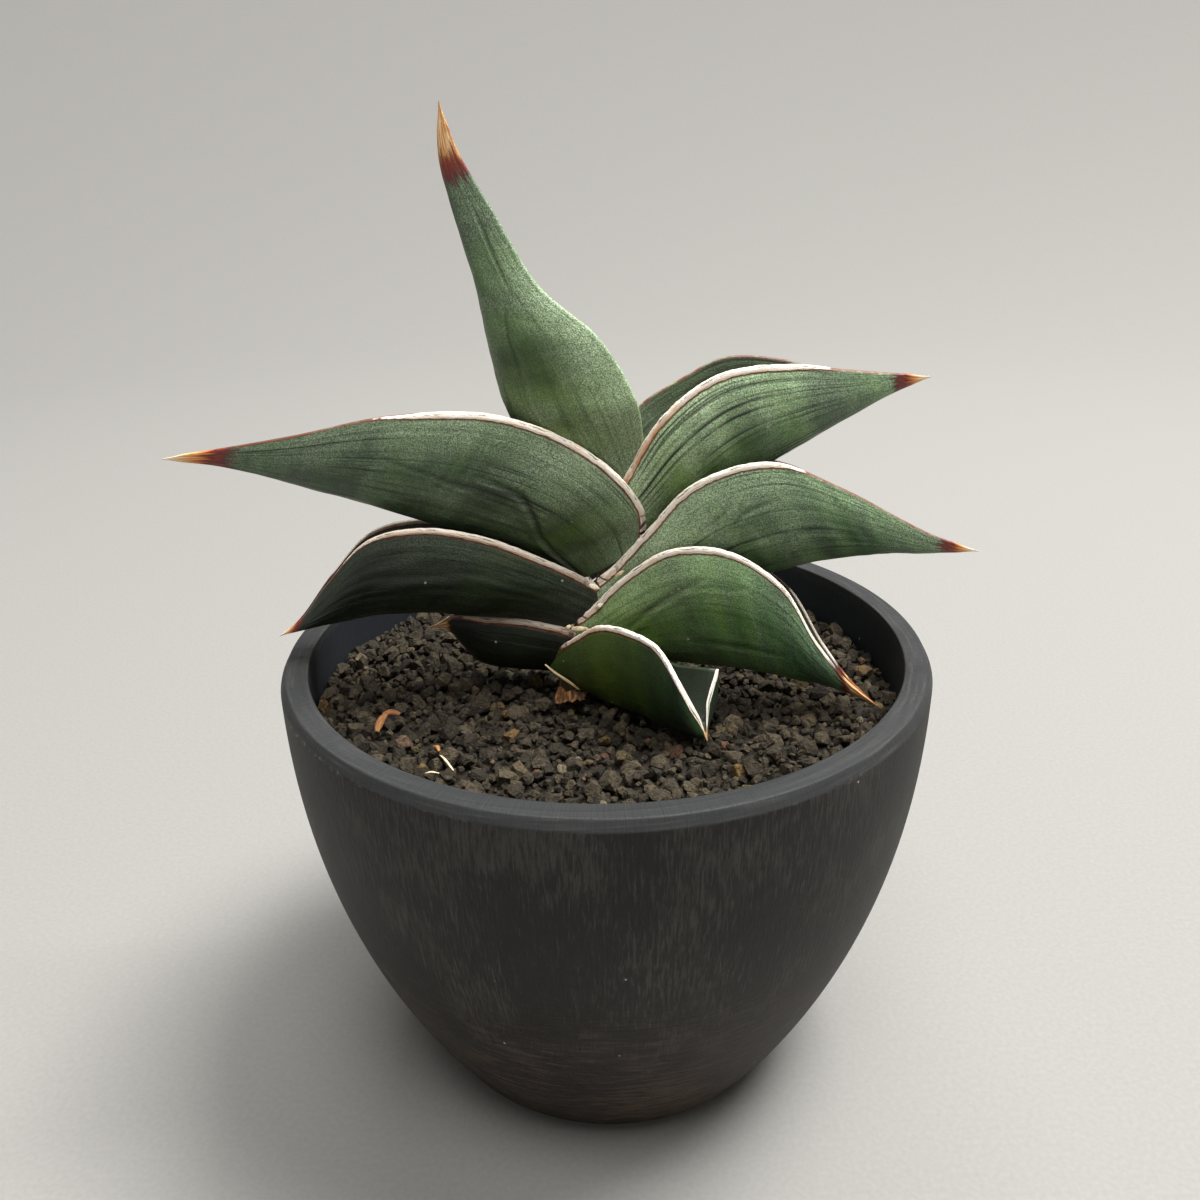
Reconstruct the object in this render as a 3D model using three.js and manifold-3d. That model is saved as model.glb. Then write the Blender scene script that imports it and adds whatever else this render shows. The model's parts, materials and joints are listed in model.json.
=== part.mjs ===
// A potted Sansevieria rorida, in millimetres: a short leaning stem with two ranks of thick channelled
// leaves, rooted in granular soil in a round pot. +Z is up, and the origin is the middle of the pot's foot.
// The fan of leaves lies along X, its younger leaves higher up, and the camera side of the plant is -Y.
import * as THREE from "three";
import { mergeVertices } from "three/addons/utils/BufferGeometryUtils.js";
import Module from "manifold-3d";

const wasm = await Module();
wasm.setup();

// Driving dimensions of the pot
const RIM_DIAMETER = 130;
const POT_HEIGHT = 94.6;
const FOOT_DIAMETER = 75;
const BODY_SWELL = 2.16;
const WALL = 5.4;
const FLOOR = 4.5;
const RIM_BAND = 2;
const RIM_CHAMFER = 1.1;
const DRAIN_HOLES = 4;
const DRAIN_HOLE_DIAMETER = 9;
const DRAIN_CIRCLE_RADIUS = 22;

// Driving dimensions of the soil
const SOIL_BELOW_RIM = 10.6;
const GRAIN_SIZE = 5.2;
const GRAIN_RELIEF = 0.75;

// Driving dimensions of the stem and its roots
const STEM_RADIUS = 2.6;
const RHIZOME_RADIUS = 5.5;
const ROOT_RADIUS = 1.6;
const ROOT_TAPER = 0.65;
const ROOT_COUNT = 4;
const ROOT_DROP = 32;
const FIRST_ROOT_HEIGHT = 54;
const ROOT_SPACING = 4;
const FIRST_ROOT_REACH = 16;
const REACH_STEP = 3;
const STEM_AXIS = [
  [-8.5, 0, 46],
  [-8, 0, 64],
  [-7.2, 0, 84],
  [-5.5, 0, 92],
  [-2, 0, 101],
  [1, 0, 108],
  [4.4, 0, 120.6],
];

// How finely round pieces are faceted
const POT_SIDES = 64;
const BODY_STEPS = 6;
const DRAIN_SIDES = 20;
const STEM_SIDES = 12;
const STEM_STEPS = 11;
const ROOT_SIDES = 7;
const ROOT_STEPS = 6;
const SOIL_RINGS = 15;
const SOIL_ROWS = 3;

// The gap that neighbouring pieces keep
const GAP = 0.3;

// A leaf in side view. Each section runs from the keel to the near margin, as
// [keel outward, keel height, margin outward, margin height], with outward measured from the stem's axis
// at the leaf's node along its direction. The last section is the spine's point.
// baseHalfWidth is half the width of the base that clasps the stem, narrower on each younger leaf so that it
// sits inside the older ones. spread is half the width of the channel where the leaf is deepest, farHeight is
// how high the far wing stands against the near one, and farLimit caps that height in millimetres.
const LEAVES = [
  {
    name: "leaf_1",
    direction: -46,
    nodeHeight: 85,
    baseHalfWidth: 5.6,
    spread: 7.5,
    taper: 0.4,
    farHeight: 1,
    farLimit: 9.5,
    sections: [
      [4.8, 85, -2.3, 91.2],
      [11, 85, 6, 99],
      [17, 85, 13, 104.3],
      [23.5, 85.3, 21, 106.2],
      [29.5, 85.6, 28.5, 104],
      [34, 85.9, 33, 97],
      [36, 86, 35.4, 91],
      [36.9, 85.6, 36.8, 86.2],
    ],
  },
  {
    name: "leaf_2",
    direction: 176,
    nodeHeight: 88,
    baseHalfWidth: 5.5,
    spread: 6.5,
    taper: 0.85,
    farHeight: 0.8,
    farLimit: 30,
    sections: [
      [6, 88, -5, 97],
      [11, 88.3, 2, 99.5],
      [16, 88.8, 9.5, 101.3],
      [20, 90, 16, 101.5],
      [23.3, 93.5, 22, 101],
      [26, 96.5, 26, 99.5],
      [30, 97, 30, 97.6],
    ],
  },
  {
    name: "leaf_3",
    direction: -14,
    nodeHeight: 92,
    baseHalfWidth: 5.4,
    spread: 7.5,
    taper: 0.85,
    farHeight: 0.77,
    farLimit: 30,
    sections: [
      [7.5, 91.5, -4, 98.5],
      [14, 92, 3.5, 103.5],
      [21.5, 92, 10.5, 111],
      [29.5, 92, 20, 118],
      [37.5, 91.5, 31, 118.6],
      [44.5, 90.5, 41, 112.2],
      [51.5, 89.3, 48, 100],
      [56.5, 87.7, 54.5, 91.3],
      [60.5, 85.8, 60.5, 86.4],
    ],
  },
  {
    name: "leaf_4",
    direction: 184,
    nodeHeight: 96,
    baseHalfWidth: 5,
    spread: 8,
    taper: 0.85,
    farHeight: 0.88,
    farLimit: 30,
    sections: [
      [7.5, 96, -8, 104.5],
      [15, 100, -1, 109.2],
      [24, 101.8, 8, 114.7],
      [33, 102.8, 19, 120],
      [42, 102.6, 31, 122.6],
      [49, 101.5, 41, 120.6],
      [55, 100.2, 50, 111.3],
      [59, 99.3, 57.3, 102],
      [61.6, 98.4, 61.6, 99],
    ],
  },
  {
    name: "leaf_5",
    direction: -8,
    nodeHeight: 101,
    baseHalfWidth: 4.8,
    spread: 8,
    taper: 0.85,
    farHeight: 0.88,
    farLimit: 30,
    sections: [
      [7.5, 101, -3, 106],
      [16, 105, 5, 113],
      [26, 108, 11, 120.3],
      [35, 111, 20, 130.5],
      [45, 114, 33.5, 135],
      [54.5, 115.5, 47, 129.8],
      [66, 116, 64.5, 120],
      [73.5, 116.4, 73.5, 117],
    ],
  },
  {
    name: "leaf_6",
    direction: 180,
    nodeHeight: 108,
    baseHalfWidth: 4.5,
    spread: 8,
    taper: 0.85,
    farHeight: 0.86,
    farLimit: 30,
    sections: [
      [7.5, 108, -7, 117],
      [14, 113, -6.6, 124],
      [22, 117, 2, 134.8],
      [34, 120.5, 18.5, 142.9],
      [49, 125.5, 40, 143.1],
      [64, 130, 60, 138.9],
      [74, 132.8, 72, 136.7],
      [85.5, 134.2, 85.5, 134.8],
    ],
  },
  {
    name: "leaf_7",
    direction: -2,
    nodeHeight: 114,
    baseHalfWidth: 4.2,
    spread: 7.5,
    taper: 0.85,
    farHeight: 1,
    farLimit: 30,
    sections: [
      [6.5, 114.5, -2.5, 123],
      [13, 118.5, 2.5, 132],
      [20, 124, 8.5, 142.2],
      [27.5, 130.5, 18.5, 150],
      [36.5, 136.3, 31, 151.6],
      [45, 141.5, 42.5, 150],
      [52.5, 145.6, 51.5, 149],
      [58.5, 148, 58.5, 148.6],
    ],
  },
  {
    name: "leaf_8",
    direction: 180,
    nodeHeight: 121,
    baseHalfWidth: 4,
    spread: 8,
    taper: 0.85,
    farHeight: 0.85,
    farLimit: 30,
    sections: [
      [4, 121.5, -3.5, 124],
      [14, 130, -3, 138],
      [22, 142, -1.5, 146],
      [25, 154, 5, 157],
      [27, 166, 15.5, 166],
      [30, 178, 23, 178.5],
      [32, 188, 28.8, 188.8],
      [31.5, 196.4, 31, 196.4],
    ],
  },
];

// What is left of a still older leaf: a dry scale on the soil at the stem's foot, given like a leaf
const DRY_SCALE = {
  name: "dry_scale",
  direction: -88,
  nodeHeight: 85,
  baseHalfWidth: 3.6,
  spread: 3,
  taper: 0.5,
  farHeight: 0.8,
  farLimit: 30,
  sections: [
    [6.5, 85, 6, 88],
    [8, 85, 7.6, 88.8],
    [10, 85.1, 10, 88],
    [12, 85.4, 12.2, 86.4],
  ],
};

// Leaf tissue: the wall's thickness at the margin and in the wing, how much of the depth is solid above the
// keel in the blade and in the spine, and how far round the wings' outer faces curve, in degrees from the
// keel. Each stretch is where along the leaf a value changes.
const MARGIN_THICKNESS = 1.1;
const WING_THICKNESS = 2;
const KEEL_SHARE = 0.2;
const SPINE_FILL = 0.7;
const CURL_AT_BASE = 118;
const CURL_AT_TIP = 92;
const BASE_STRETCH = [0, 0.3];
const CURL_STRETCH = [0.2, 0.9];
const SPINE_STRETCH = [0.72, 0.95];
const STEPS_PER_SECTION = 2;
const WING_STEPS = 4;

function smooth(value, from, to) {
  return THREE.MathUtils.smoothstep(value, from, to);
}

// A closed triangle mesh as a manifold solid, and back again
function solidOf(geometry) {
  const bare = geometry.index ? geometry.toNonIndexed() : geometry.clone();
  bare.deleteAttribute("normal");
  bare.deleteAttribute("uv");
  const merged = mergeVertices(bare, 1e-3);
  return new wasm.Manifold(
    new wasm.Mesh({
      numProp: 3,
      vertProperties: merged.attributes.position.array,
      triVerts: new Uint32Array(merged.index.array),
    }),
  );
}

function geometryOf(solid) {
  const mesh = solid.getMesh();
  const geometry = new THREE.BufferGeometry();
  geometry.setAttribute("position", new THREE.BufferAttribute(new Float32Array(mesh.vertProperties), 3));
  geometry.setIndex(new THREE.BufferAttribute(new Uint32Array(mesh.triVerts), 1));
  geometry.computeVertexNormals();
  return geometry;
}

// Pot
const bodyHeight = POT_HEIGHT - RIM_BAND;
const rimRadius = RIM_DIAMETER / 2;
const footRadius = FOOT_DIAMETER / 2;

function bodyRadius(height) {
  const rest = 1 - Math.min(1, height / bodyHeight);
  return footRadius + (rimRadius - footRadius) * (1 - rest ** BODY_SWELL);
}

function innerRadius(height) {
  return bodyRadius(height) - WALL;
}

function potSolid() {
  const profile = [new THREE.Vector2(0, 0)];
  for (let step = 0; step <= BODY_STEPS; step++) {
    const height = (bodyHeight * step) / BODY_STEPS;
    profile.push(new THREE.Vector2(bodyRadius(height), height));
  }
  profile.push(new THREE.Vector2(rimRadius - RIM_CHAMFER, POT_HEIGHT));
  profile.push(new THREE.Vector2(innerRadius(POT_HEIGHT), POT_HEIGHT));
  for (let step = BODY_STEPS; step >= 1; step--) {
    const height = FLOOR + ((bodyHeight - FLOOR) * step) / BODY_STEPS;
    profile.push(new THREE.Vector2(innerRadius(height), height));
  }
  profile.push(new THREE.Vector2(innerRadius(FLOOR), FLOOR));
  profile.push(new THREE.Vector2(0, FLOOR));
  let pot = solidOf(new THREE.LatheGeometry(profile, POT_SIDES).rotateX(Math.PI / 2));
  for (let hole = 0; hole < DRAIN_HOLES; hole++) {
    const turn = ((hole + 0.5) / DRAIN_HOLES) * 2 * Math.PI;
    const radius = DRAIN_HOLE_DIAMETER / 2;
    const drill = new THREE.CylinderGeometry(radius, radius, 4 * FLOOR, DRAIN_SIDES)
      .rotateX(Math.PI / 2)
      .translate(DRAIN_CIRCLE_RADIUS * Math.cos(turn), DRAIN_CIRCLE_RADIUS * Math.sin(turn), 0);
    pot = pot.subtract(solidOf(drill));
  }
  return pot;
}

// Stem with its rhizome and fleshy roots: one grown piece
const stemCurve = new THREE.CatmullRomCurve3(STEM_AXIS.map((point) => new THREE.Vector3(...point)));

// The point of the stem's axis at a height, found by halving
function stemAxisAt(height) {
  let low = 0;
  let high = 1;
  const halvings = 30;
  for (let step = 0; step < halvings; step++) {
    const middle = (low + high) / 2;
    if (stemCurve.getPoint(middle).z < height) low = middle;
    else high = middle;
  }
  return stemCurve.getPoint(low);
}

// A round closed tube along a curve, whose radius changes along it
function tube(curve, steps, sides, radiusAt) {
  const frames = curve.computeFrenetFrames(steps, false);
  const positions = [];
  const index = [];
  for (let step = 0; step <= steps; step++) {
    const centre = curve.getPointAt(step / steps);
    const radius = radiusAt(step / steps);
    for (let side = 0; side < sides; side++) {
      const turn = (side / sides) * 2 * Math.PI;
      const out = frames.normals[step].clone().multiplyScalar(Math.cos(turn) * radius);
      out.addScaledVector(frames.binormals[step], Math.sin(turn) * radius);
      positions.push(...centre.clone().add(out).toArray());
      if (step === steps) continue;
      const here = step * sides + side;
      const next = step * sides + ((side + 1) % sides);
      index.push(here, next, next + sides, here, next + sides, here + sides);
    }
  }
  const start = positions.length / 3;
  positions.push(...curve.getPointAt(0).toArray(), ...curve.getPointAt(1).toArray());
  for (let side = 0; side < sides; side++) {
    const next = (side + 1) % sides;
    index.push(start, next, side);
    index.push(start + 1, steps * sides + side, steps * sides + next);
  }
  const geometry = new THREE.BufferGeometry();
  geometry.setAttribute("position", new THREE.Float32BufferAttribute(positions, 3));
  geometry.setIndex(index);
  return outward(geometry);
}

// The solid of a closed geometry, with its faces turned to point outwards
function outward(geometry) {
  let solid = solidOf(geometry);
  if (solid.volume() < 0) {
    const index = geometry.index.array;
    for (let corner = 0; corner < index.length; corner += 3) {
      [index[corner + 1], index[corner + 2]] = [index[corner + 2], index[corner + 1]];
    }
    solid = solidOf(geometry);
  }
  return solid;
}

// The rootstock swells into its rhizome below the soil's top and tapers again at its lower end
function stemRadius(along) {
  const rhizomeShare = 1 - smooth(along, 0.28, 0.5);
  const lowerEnd = 0.5 + 0.5 * smooth(along, 0, 0.14);
  return (STEM_RADIUS + (RHIZOME_RADIUS - STEM_RADIUS) * rhizomeShare) * lowerEnd;
}

// A root leaves the rhizome level, then bends down
function rootCurve(root) {
  const turn = ((root + 0.3) / ROOT_COUNT) * 2 * Math.PI;
  const from = stemAxisAt(FIRST_ROOT_HEIGHT + ROOT_SPACING * root);
  const reach = FIRST_ROOT_REACH + REACH_STEP * root;
  const bends = [
    [0, 0],
    [0.5, 0.16],
    [0.85, 0.53],
    [1, 1],
  ];
  return new THREE.CatmullRomCurve3(
    bends.map(([out, down]) => {
      const offset = new THREE.Vector3(Math.cos(turn), Math.sin(turn), 0).multiplyScalar(out * reach);
      return from.clone().add(offset).setZ(from.z - down * ROOT_DROP);
    }),
  );
}

// Grown by some millimetres it is the hole that the soil and the leaves leave for it
function rootstockSolid(grow) {
  let rootstock = tube(stemCurve, STEM_STEPS, STEM_SIDES, (along) => stemRadius(along) + grow);
  for (let root = 0; root < ROOT_COUNT; root++) {
    const radiusAt = (along) => ROOT_RADIUS * (1 - ROOT_TAPER * along) + grow;
    rootstock = rootstock.add(tube(rootCurve(root), ROOT_STEPS, ROOT_SIDES, radiusAt));
  }
  return rootstock;
}

// A smooth curve in a leaf's own side view
function sideCurve(points) {
  const inPlane = points.map(([out, height]) => new THREE.Vector3(out, 0, height));
  return new THREE.CatmullRomCurve3(inPlane, false, "centripetal");
}

// A leaf is a row of U-shaped rings from its base to its spine. Each ring runs along the outer face from
// one margin round the keel to the other, and back along the channel. Grown, it is the room the leaf takes.
function leafSolid(leaf, grow) {
  const direction = THREE.MathUtils.degToRad(leaf.direction);
  const sections = leaf.sections;
  const keelCurve = sideCurve(sections);
  const marginCurve = sideCurve(sections.map(([, , out, height]) => [out, height]));
  const stations = (sections.length - 1) * STEPS_PER_SECTION;
  const rows = [];
  let deepest = 0;
  for (let station = 0; station <= stations; station++) {
    const along = station / stations;
    const keel = keelCurve.getPoint(along);
    const margin = marginCurve.getPoint(along);
    const depth = margin.distanceTo(keel);
    deepest = Math.max(deepest, depth);
    rows.push({ along, keel, margin, depth });
  }
  const ringSize = 2 * (2 * WING_STEPS + 1);
  const positions = [];
  for (const { along, keel, margin, depth } of rows) {
    const up = margin.clone().sub(keel).normalize();
    const bladeWidth = leaf.spread * (depth / deepest) ** leaf.taper;
    const halfWidth = THREE.MathUtils.lerp(leaf.baseHalfWidth, bladeWidth, smooth(along, ...BASE_STRETCH));
    const curlDegrees = THREE.MathUtils.lerp(CURL_AT_BASE, CURL_AT_TIP, smooth(along, ...CURL_STRETCH));
    const curl = THREE.MathUtils.degToRad(curlDegrees);
    const marginWall = Math.min(MARGIN_THICKNESS, 0.5 * halfWidth);
    const wingWall = Math.min(WING_THICKNESS, 0.6 * halfWidth);
    const fill = THREE.MathUtils.lerp(KEEL_SHARE, SPINE_FILL, smooth(along, ...SPINE_STRETCH));
    const farDepth = Math.min(depth * leaf.farHeight, leaf.farLimit);
    const nearSide = Math.cos(direction) > 0 ? 1 : -1;
    const outer = [];
    const inner = [];
    for (let step = -WING_STEPS; step <= WING_STEPS; step++) {
      const share = Math.abs(step) / WING_STEPS;
      const side = Math.sign(step);
      const wingDepth = side === -nearSide ? farDepth : depth;
      const turn = share * curl;
      const rise = (1 - Math.cos(turn)) / (1 - Math.cos(curl));
      const wall = (marginWall + (wingWall - marginWall) * (1 - share ** 3)) / Math.sin(curl);
      const floor = rise + fill * (1 - share) ** 1.3;
      outer.push([side * (halfWidth + grow) * Math.sin(turn), rise * (wingDepth + 2 * grow) - grow]);
      inner.push([side * (halfWidth - wall - grow) * Math.sin(turn), floor * wingDepth + grow]);
    }
    for (const [across, height] of [...outer, ...inner.reverse()]) {
      positions.push(keel.x + up.x * height, -across, keel.z + up.z * height);
    }
  }
  const index = [];
  for (let station = 0; station < stations; station++) {
    for (let point = 0; point < ringSize; point++) {
      const here = station * ringSize + point;
      const next = station * ringSize + ((point + 1) % ringSize);
      index.push(here, next, next + ringSize, here, next + ringSize, here + ringSize);
    }
  }
  for (let point = 0; point < 2 * WING_STEPS; point++) {
    const across = ringSize - 1 - point;
    const end = stations * ringSize;
    index.push(point, across - 1, point + 1, point, across, across - 1);
    index.push(end + point, end + point + 1, end + across - 1, end + point, end + across - 1, end + across);
  }
  const geometry = new THREE.BufferGeometry();
  geometry.setAttribute("position", new THREE.Float32BufferAttribute(positions, 3));
  geometry.setIndex(index);
  const node = stemAxisAt(leaf.nodeHeight);
  geometry.rotateZ(direction);
  geometry.translate(node.x, node.y, 0);
  return outward(geometry);
}

// Each leaf's base is pressed between the stem and the older leaves that clasp it, and keeps the gap to them.
function plantSolids() {
  const rootstock = rootstockSolid(0);
  const grownStem = rootstockSolid(GAP);
  const grownLeaves = LEAVES.map((leaf) => leafSolid(leaf, GAP));
  const leaves = LEAVES.map((leaf, rank) => {
    let solid = leafSolid(leaf, 0).subtract(grownStem);
    for (const older of grownLeaves.slice(0, rank)) solid = solid.subtract(older);
    return solid;
  });
  const dryScale = leafSolid(DRY_SCALE, 0).subtract(grownStem).subtract(grownLeaves[0]);
  return { rootstock, leaves, dryScale };
}

// Soil: filled to just below the rim, with grains as relief over its top
const soilLevel = POT_HEIGHT - SOIL_BELOW_RIM;

// A repeatable random number from 0 to 1 for a cell of the grain pattern
function cellNumber(column, row, salt) {
  const wave = Math.sin(column * 127.1 + row * 311.7 + salt * 74.7) * 43758.5453;
  return wave - Math.floor(wave);
}

// Height of the soil's top: every grain is a rounded bump round its own point
function soilHeight(x, y) {
  const column = Math.floor(x / GRAIN_SIZE);
  const row = Math.floor(y / GRAIN_SIZE);
  let nearest = GRAIN_SIZE;
  let lift = 0;
  for (let c = column - 1; c <= column + 1; c++) {
    for (let r = row - 1; r <= row + 1; r++) {
      const centreX = (c + 0.2 + 0.6 * cellNumber(c, r, 1)) * GRAIN_SIZE;
      const centreY = (r + 0.2 + 0.6 * cellNumber(c, r, 2)) * GRAIN_SIZE;
      const distance = Math.hypot(x - centreX, y - centreY);
      if (distance >= nearest) continue;
      nearest = distance;
      lift = cellNumber(c, r, 3);
    }
  }
  const bump = 1 - (nearest / GRAIN_SIZE) ** 2;
  return soilLevel + GRAIN_RELIEF * (bump * 1.2 + lift * 0.8 - 1.1);
}

function soilSolid(rootstock) {
  const positions = [0, 0, soilHeight(0, 0)];
  const index = [];
  const ringStart = (ring) => (ring === 0 ? 0 : 1 + 3 * ring * (ring - 1));
  const ringPoint = (ring, place) => (ring === 0 ? 0 : ringStart(ring) + (place % (6 * ring)));
  const topRadius = innerRadius(soilLevel) - GAP;
  for (let ring = 1; ring <= SOIL_RINGS; ring++) {
    const radius = (topRadius * ring) / SOIL_RINGS;
    for (let place = 0; place < 6 * ring; place++) {
      const turn = (place / (6 * ring)) * 2 * Math.PI;
      const x = radius * Math.cos(turn);
      const y = radius * Math.sin(turn);
      positions.push(x, y, soilHeight(x, y));
    }
    for (let sector = 0; sector < 6; sector++) {
      for (let step = 0; step < ring; step++) {
        const outer = sector * ring + step;
        const inner = sector * (ring - 1) + step;
        index.push(ringPoint(ring, outer), ringPoint(ring, outer + 1), ringPoint(ring - 1, inner));
        if (step === ring - 1) continue;
        index.push(ringPoint(ring, outer + 1), ringPoint(ring - 1, inner + 1), ringPoint(ring - 1, inner));
      }
    }
  }
  const edge = 6 * SOIL_RINGS;
  const bottom = FLOOR + GAP;
  let upperStart = ringStart(SOIL_RINGS);
  for (let row = 1; row <= SOIL_ROWS; row++) {
    const height = soilLevel - ((soilLevel - bottom) * row) / SOIL_ROWS;
    const radius = innerRadius(height) - GAP;
    const lowerStart = positions.length / 3;
    for (let place = 0; place < edge; place++) {
      const turn = (place / edge) * 2 * Math.PI;
      positions.push(radius * Math.cos(turn), radius * Math.sin(turn), height);
      const next = (place + 1) % edge;
      index.push(lowerStart + place, lowerStart + next, upperStart + next);
      index.push(lowerStart + place, upperStart + next, upperStart + place);
    }
    upperStart = lowerStart;
  }
  const middle = positions.length / 3;
  positions.push(0, 0, bottom);
  for (let place = 0; place < edge; place++) {
    index.push(middle, upperStart + ((place + 1) % edge), upperStart + place);
  }
  const geometry = new THREE.BufferGeometry();
  geometry.setAttribute("position", new THREE.Float32BufferAttribute(positions, 3));
  geometry.setIndex(index);
  return outward(geometry).subtract(rootstock);
}

const plant = new THREE.Group();
function addNode(name, solid, material) {
  const mesh = new THREE.Mesh(geometryOf(solid), material);
  mesh.name = name;
  plant.add(mesh);
}

const { rootstock, leaves, dryScale } = plantSolids();
addNode("pot", potSolid(), new THREE.MeshStandardMaterial({ color: 0x37373a, roughness: 0.5 }));
const soil = soilSolid(rootstockSolid(GAP));
addNode("soil", soil, new THREE.MeshStandardMaterial({ color: 0x4a4036, roughness: 0.95 }));
addNode("rootstock", rootstock, new THREE.MeshStandardMaterial({ color: 0xb08a58, roughness: 0.7 }));
LEAVES.forEach((leaf, rank) => {
  addNode(leaf.name, leaves[rank], new THREE.MeshStandardMaterial({ color: 0x3f5a3c, roughness: 0.5 }));
});
addNode(DRY_SCALE.name, dryScale, new THREE.MeshStandardMaterial({ color: 0x6b4a2e, roughness: 0.85 }));

export default plant;
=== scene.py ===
# A potted Sansevieria rorida: a round plastic pot, granular mineral soil, a short stem and eight channelled
# leaves in a flat fan. Sizes are in millimetres in the sections below and in metres in the meshes.
import json
import math

import bmesh
import bpy
import numpy as np
from mathutils import Matrix, Vector

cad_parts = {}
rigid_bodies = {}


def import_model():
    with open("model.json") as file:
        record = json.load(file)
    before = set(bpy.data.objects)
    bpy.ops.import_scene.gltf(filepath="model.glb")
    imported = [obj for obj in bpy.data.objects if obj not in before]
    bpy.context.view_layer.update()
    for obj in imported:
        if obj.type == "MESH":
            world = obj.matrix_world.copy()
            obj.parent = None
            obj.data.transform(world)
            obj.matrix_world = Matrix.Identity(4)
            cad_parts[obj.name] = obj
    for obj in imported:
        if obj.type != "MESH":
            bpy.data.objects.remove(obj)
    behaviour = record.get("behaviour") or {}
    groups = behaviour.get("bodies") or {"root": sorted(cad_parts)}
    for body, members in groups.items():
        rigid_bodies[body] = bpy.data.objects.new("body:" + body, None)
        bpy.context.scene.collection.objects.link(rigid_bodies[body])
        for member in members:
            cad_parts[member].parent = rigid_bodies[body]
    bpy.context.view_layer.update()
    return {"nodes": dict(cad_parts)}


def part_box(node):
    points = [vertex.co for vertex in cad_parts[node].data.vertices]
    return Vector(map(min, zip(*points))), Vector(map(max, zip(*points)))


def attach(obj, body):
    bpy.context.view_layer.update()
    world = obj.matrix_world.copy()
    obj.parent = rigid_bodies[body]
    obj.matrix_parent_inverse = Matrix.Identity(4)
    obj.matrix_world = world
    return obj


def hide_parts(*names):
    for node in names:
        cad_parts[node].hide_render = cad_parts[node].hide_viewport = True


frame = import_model()
MM = 0.001

# Pot
# A round injection-moulded polypropylene pot with a flat rim, a narrow chamfered band under it, a small flat
# foot and four drain holes. Handling has brushed its wall, and a painted highlight runs as a broken pale line
# along the lower corner of its rim's band.
POT_FACES_ROUND = 240
POT_WALL = 5.4
POT_FLOOR = 4.5
POT_SWELL = 2.16
FOOT_RADIUS = 37.5
RIM_BAND = 2.0
RIM_CHAMFER = 1.1
EDGE_ROUNDING = 0.35
DRAIN_HOLES = 4
DRAIN_CIRCLE = 22
DRAIN_RADIUS = 4.5
POT_BODY_STEPS = 70

RIM_RADIUS, _, POT_HEIGHT = (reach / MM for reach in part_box("pot")[1])


def pot_radius(height):
    rest = 1 - min(1, height / (POT_HEIGHT - RIM_BAND))
    return FOOT_RADIUS + (RIM_RADIUS - FOOT_RADIUS) * (1 - rest**POT_SWELL)


def rounded(corners, radius, steps=4):
    """An outline through corners, with each inner corner replaced by a small round."""
    outline = [Vector(corners[0])]
    for before, corner, after in zip(corners, corners[1:], corners[2:]):
        corner = Vector(corner)
        back = (Vector(before) - corner).normalized() * radius
        ahead = (Vector(after) - corner).normalized() * radius
        for step in range(steps + 1):
            share = step / steps
            outline.append(corner + back * (1 - share) ** 2 + ahead * share**2)
    outline.append(Vector(corners[-1]))
    return outline


def taken(name, bm):
    """A mesh that takes over what a bmesh holds."""
    mesh = bpy.data.meshes.new(name)
    bm.to_mesh(mesh)
    bm.free()
    return mesh


def built(name, places, faces, face_out=False):
    """A mesh from places in metres and faces; face_out turns the faces of a closed one outwards."""
    mesh = bpy.data.meshes.new(name)
    mesh.from_pydata(places, [], faces)
    if face_out:
        bm = bmesh.new()
        bm.from_mesh(mesh)
        bmesh.ops.recalc_face_normals(bm, faces=bm.faces)
        bm.to_mesh(mesh)
        bm.free()
    return mesh


def turned(name, outline, faces_round, lift=None):
    """A mesh made by turning an outline in millimetres round the upright axis; lift heaves its points."""
    places, rings = [], []
    for radius, height in outline:
        turns = [2 * math.pi * k / faces_round for k in range(faces_round)] if radius else [0]
        rings.append([len(places) + k % len(turns) for k in range(faces_round)])
        places += [(radius * MM * math.cos(turn), radius * MM * math.sin(turn),
                    (height + (lift(radius, height) if lift and radius else 0)) * MM) for turn in turns]
    faces = [tuple(dict.fromkeys((lower[k - 1], lower[k], upper[k], upper[k - 1])))
             for lower, upper in zip(rings, rings[1:]) for k in range(faces_round)]
    return built(name, places, faces)


def finished(name, mesh):
    """A new smooth object that holds a mesh, at the origin."""
    piece = bpy.data.objects.new(name, mesh)
    bpy.context.scene.collection.objects.link(piece)
    mesh.polygons.foreach_set("use_smooth", [True] * len(mesh.polygons))
    return piece


def applied(piece):
    """Turns a piece and its modifiers into a plain mesh."""
    bpy.context.view_layer.update()
    mesh = bpy.data.meshes.new_from_object(piece.evaluated_get(bpy.context.evaluated_depsgraph_get()))
    piece.modifiers.clear()
    piece.data = mesh
    return mesh


body_top = POT_HEIGHT - RIM_BAND
outer_wall = [(0, 0), (FOOT_RADIUS - 1, 0), (FOOT_RADIUS, 0.9)]
outer_wall += [(pot_radius(body_top * k / POT_BODY_STEPS), body_top * k / POT_BODY_STEPS)
               for k in range(2, POT_BODY_STEPS + 1)]
rim_corners = rounded([outer_wall[-2], (RIM_RADIUS, body_top), (RIM_RADIUS - RIM_CHAMFER, POT_HEIGHT),
                       (RIM_RADIUS - POT_WALL, POT_HEIGHT), (RIM_RADIUS - POT_WALL, body_top - 1)],
                      EDGE_ROUNDING)
inner_wall = [(pot_radius(height) - POT_WALL, height)
              for height in np.linspace(body_top - 2, POT_FLOOR, POT_BODY_STEPS)]
pot_outline = outer_wall[:-2] + [tuple(point) for point in rim_corners] + inner_wall + [(0, POT_FLOOR)]

moulded_pot = finished("moulded_pot", turned("moulded_pot", pot_outline, POT_FACES_ROUND))

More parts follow.
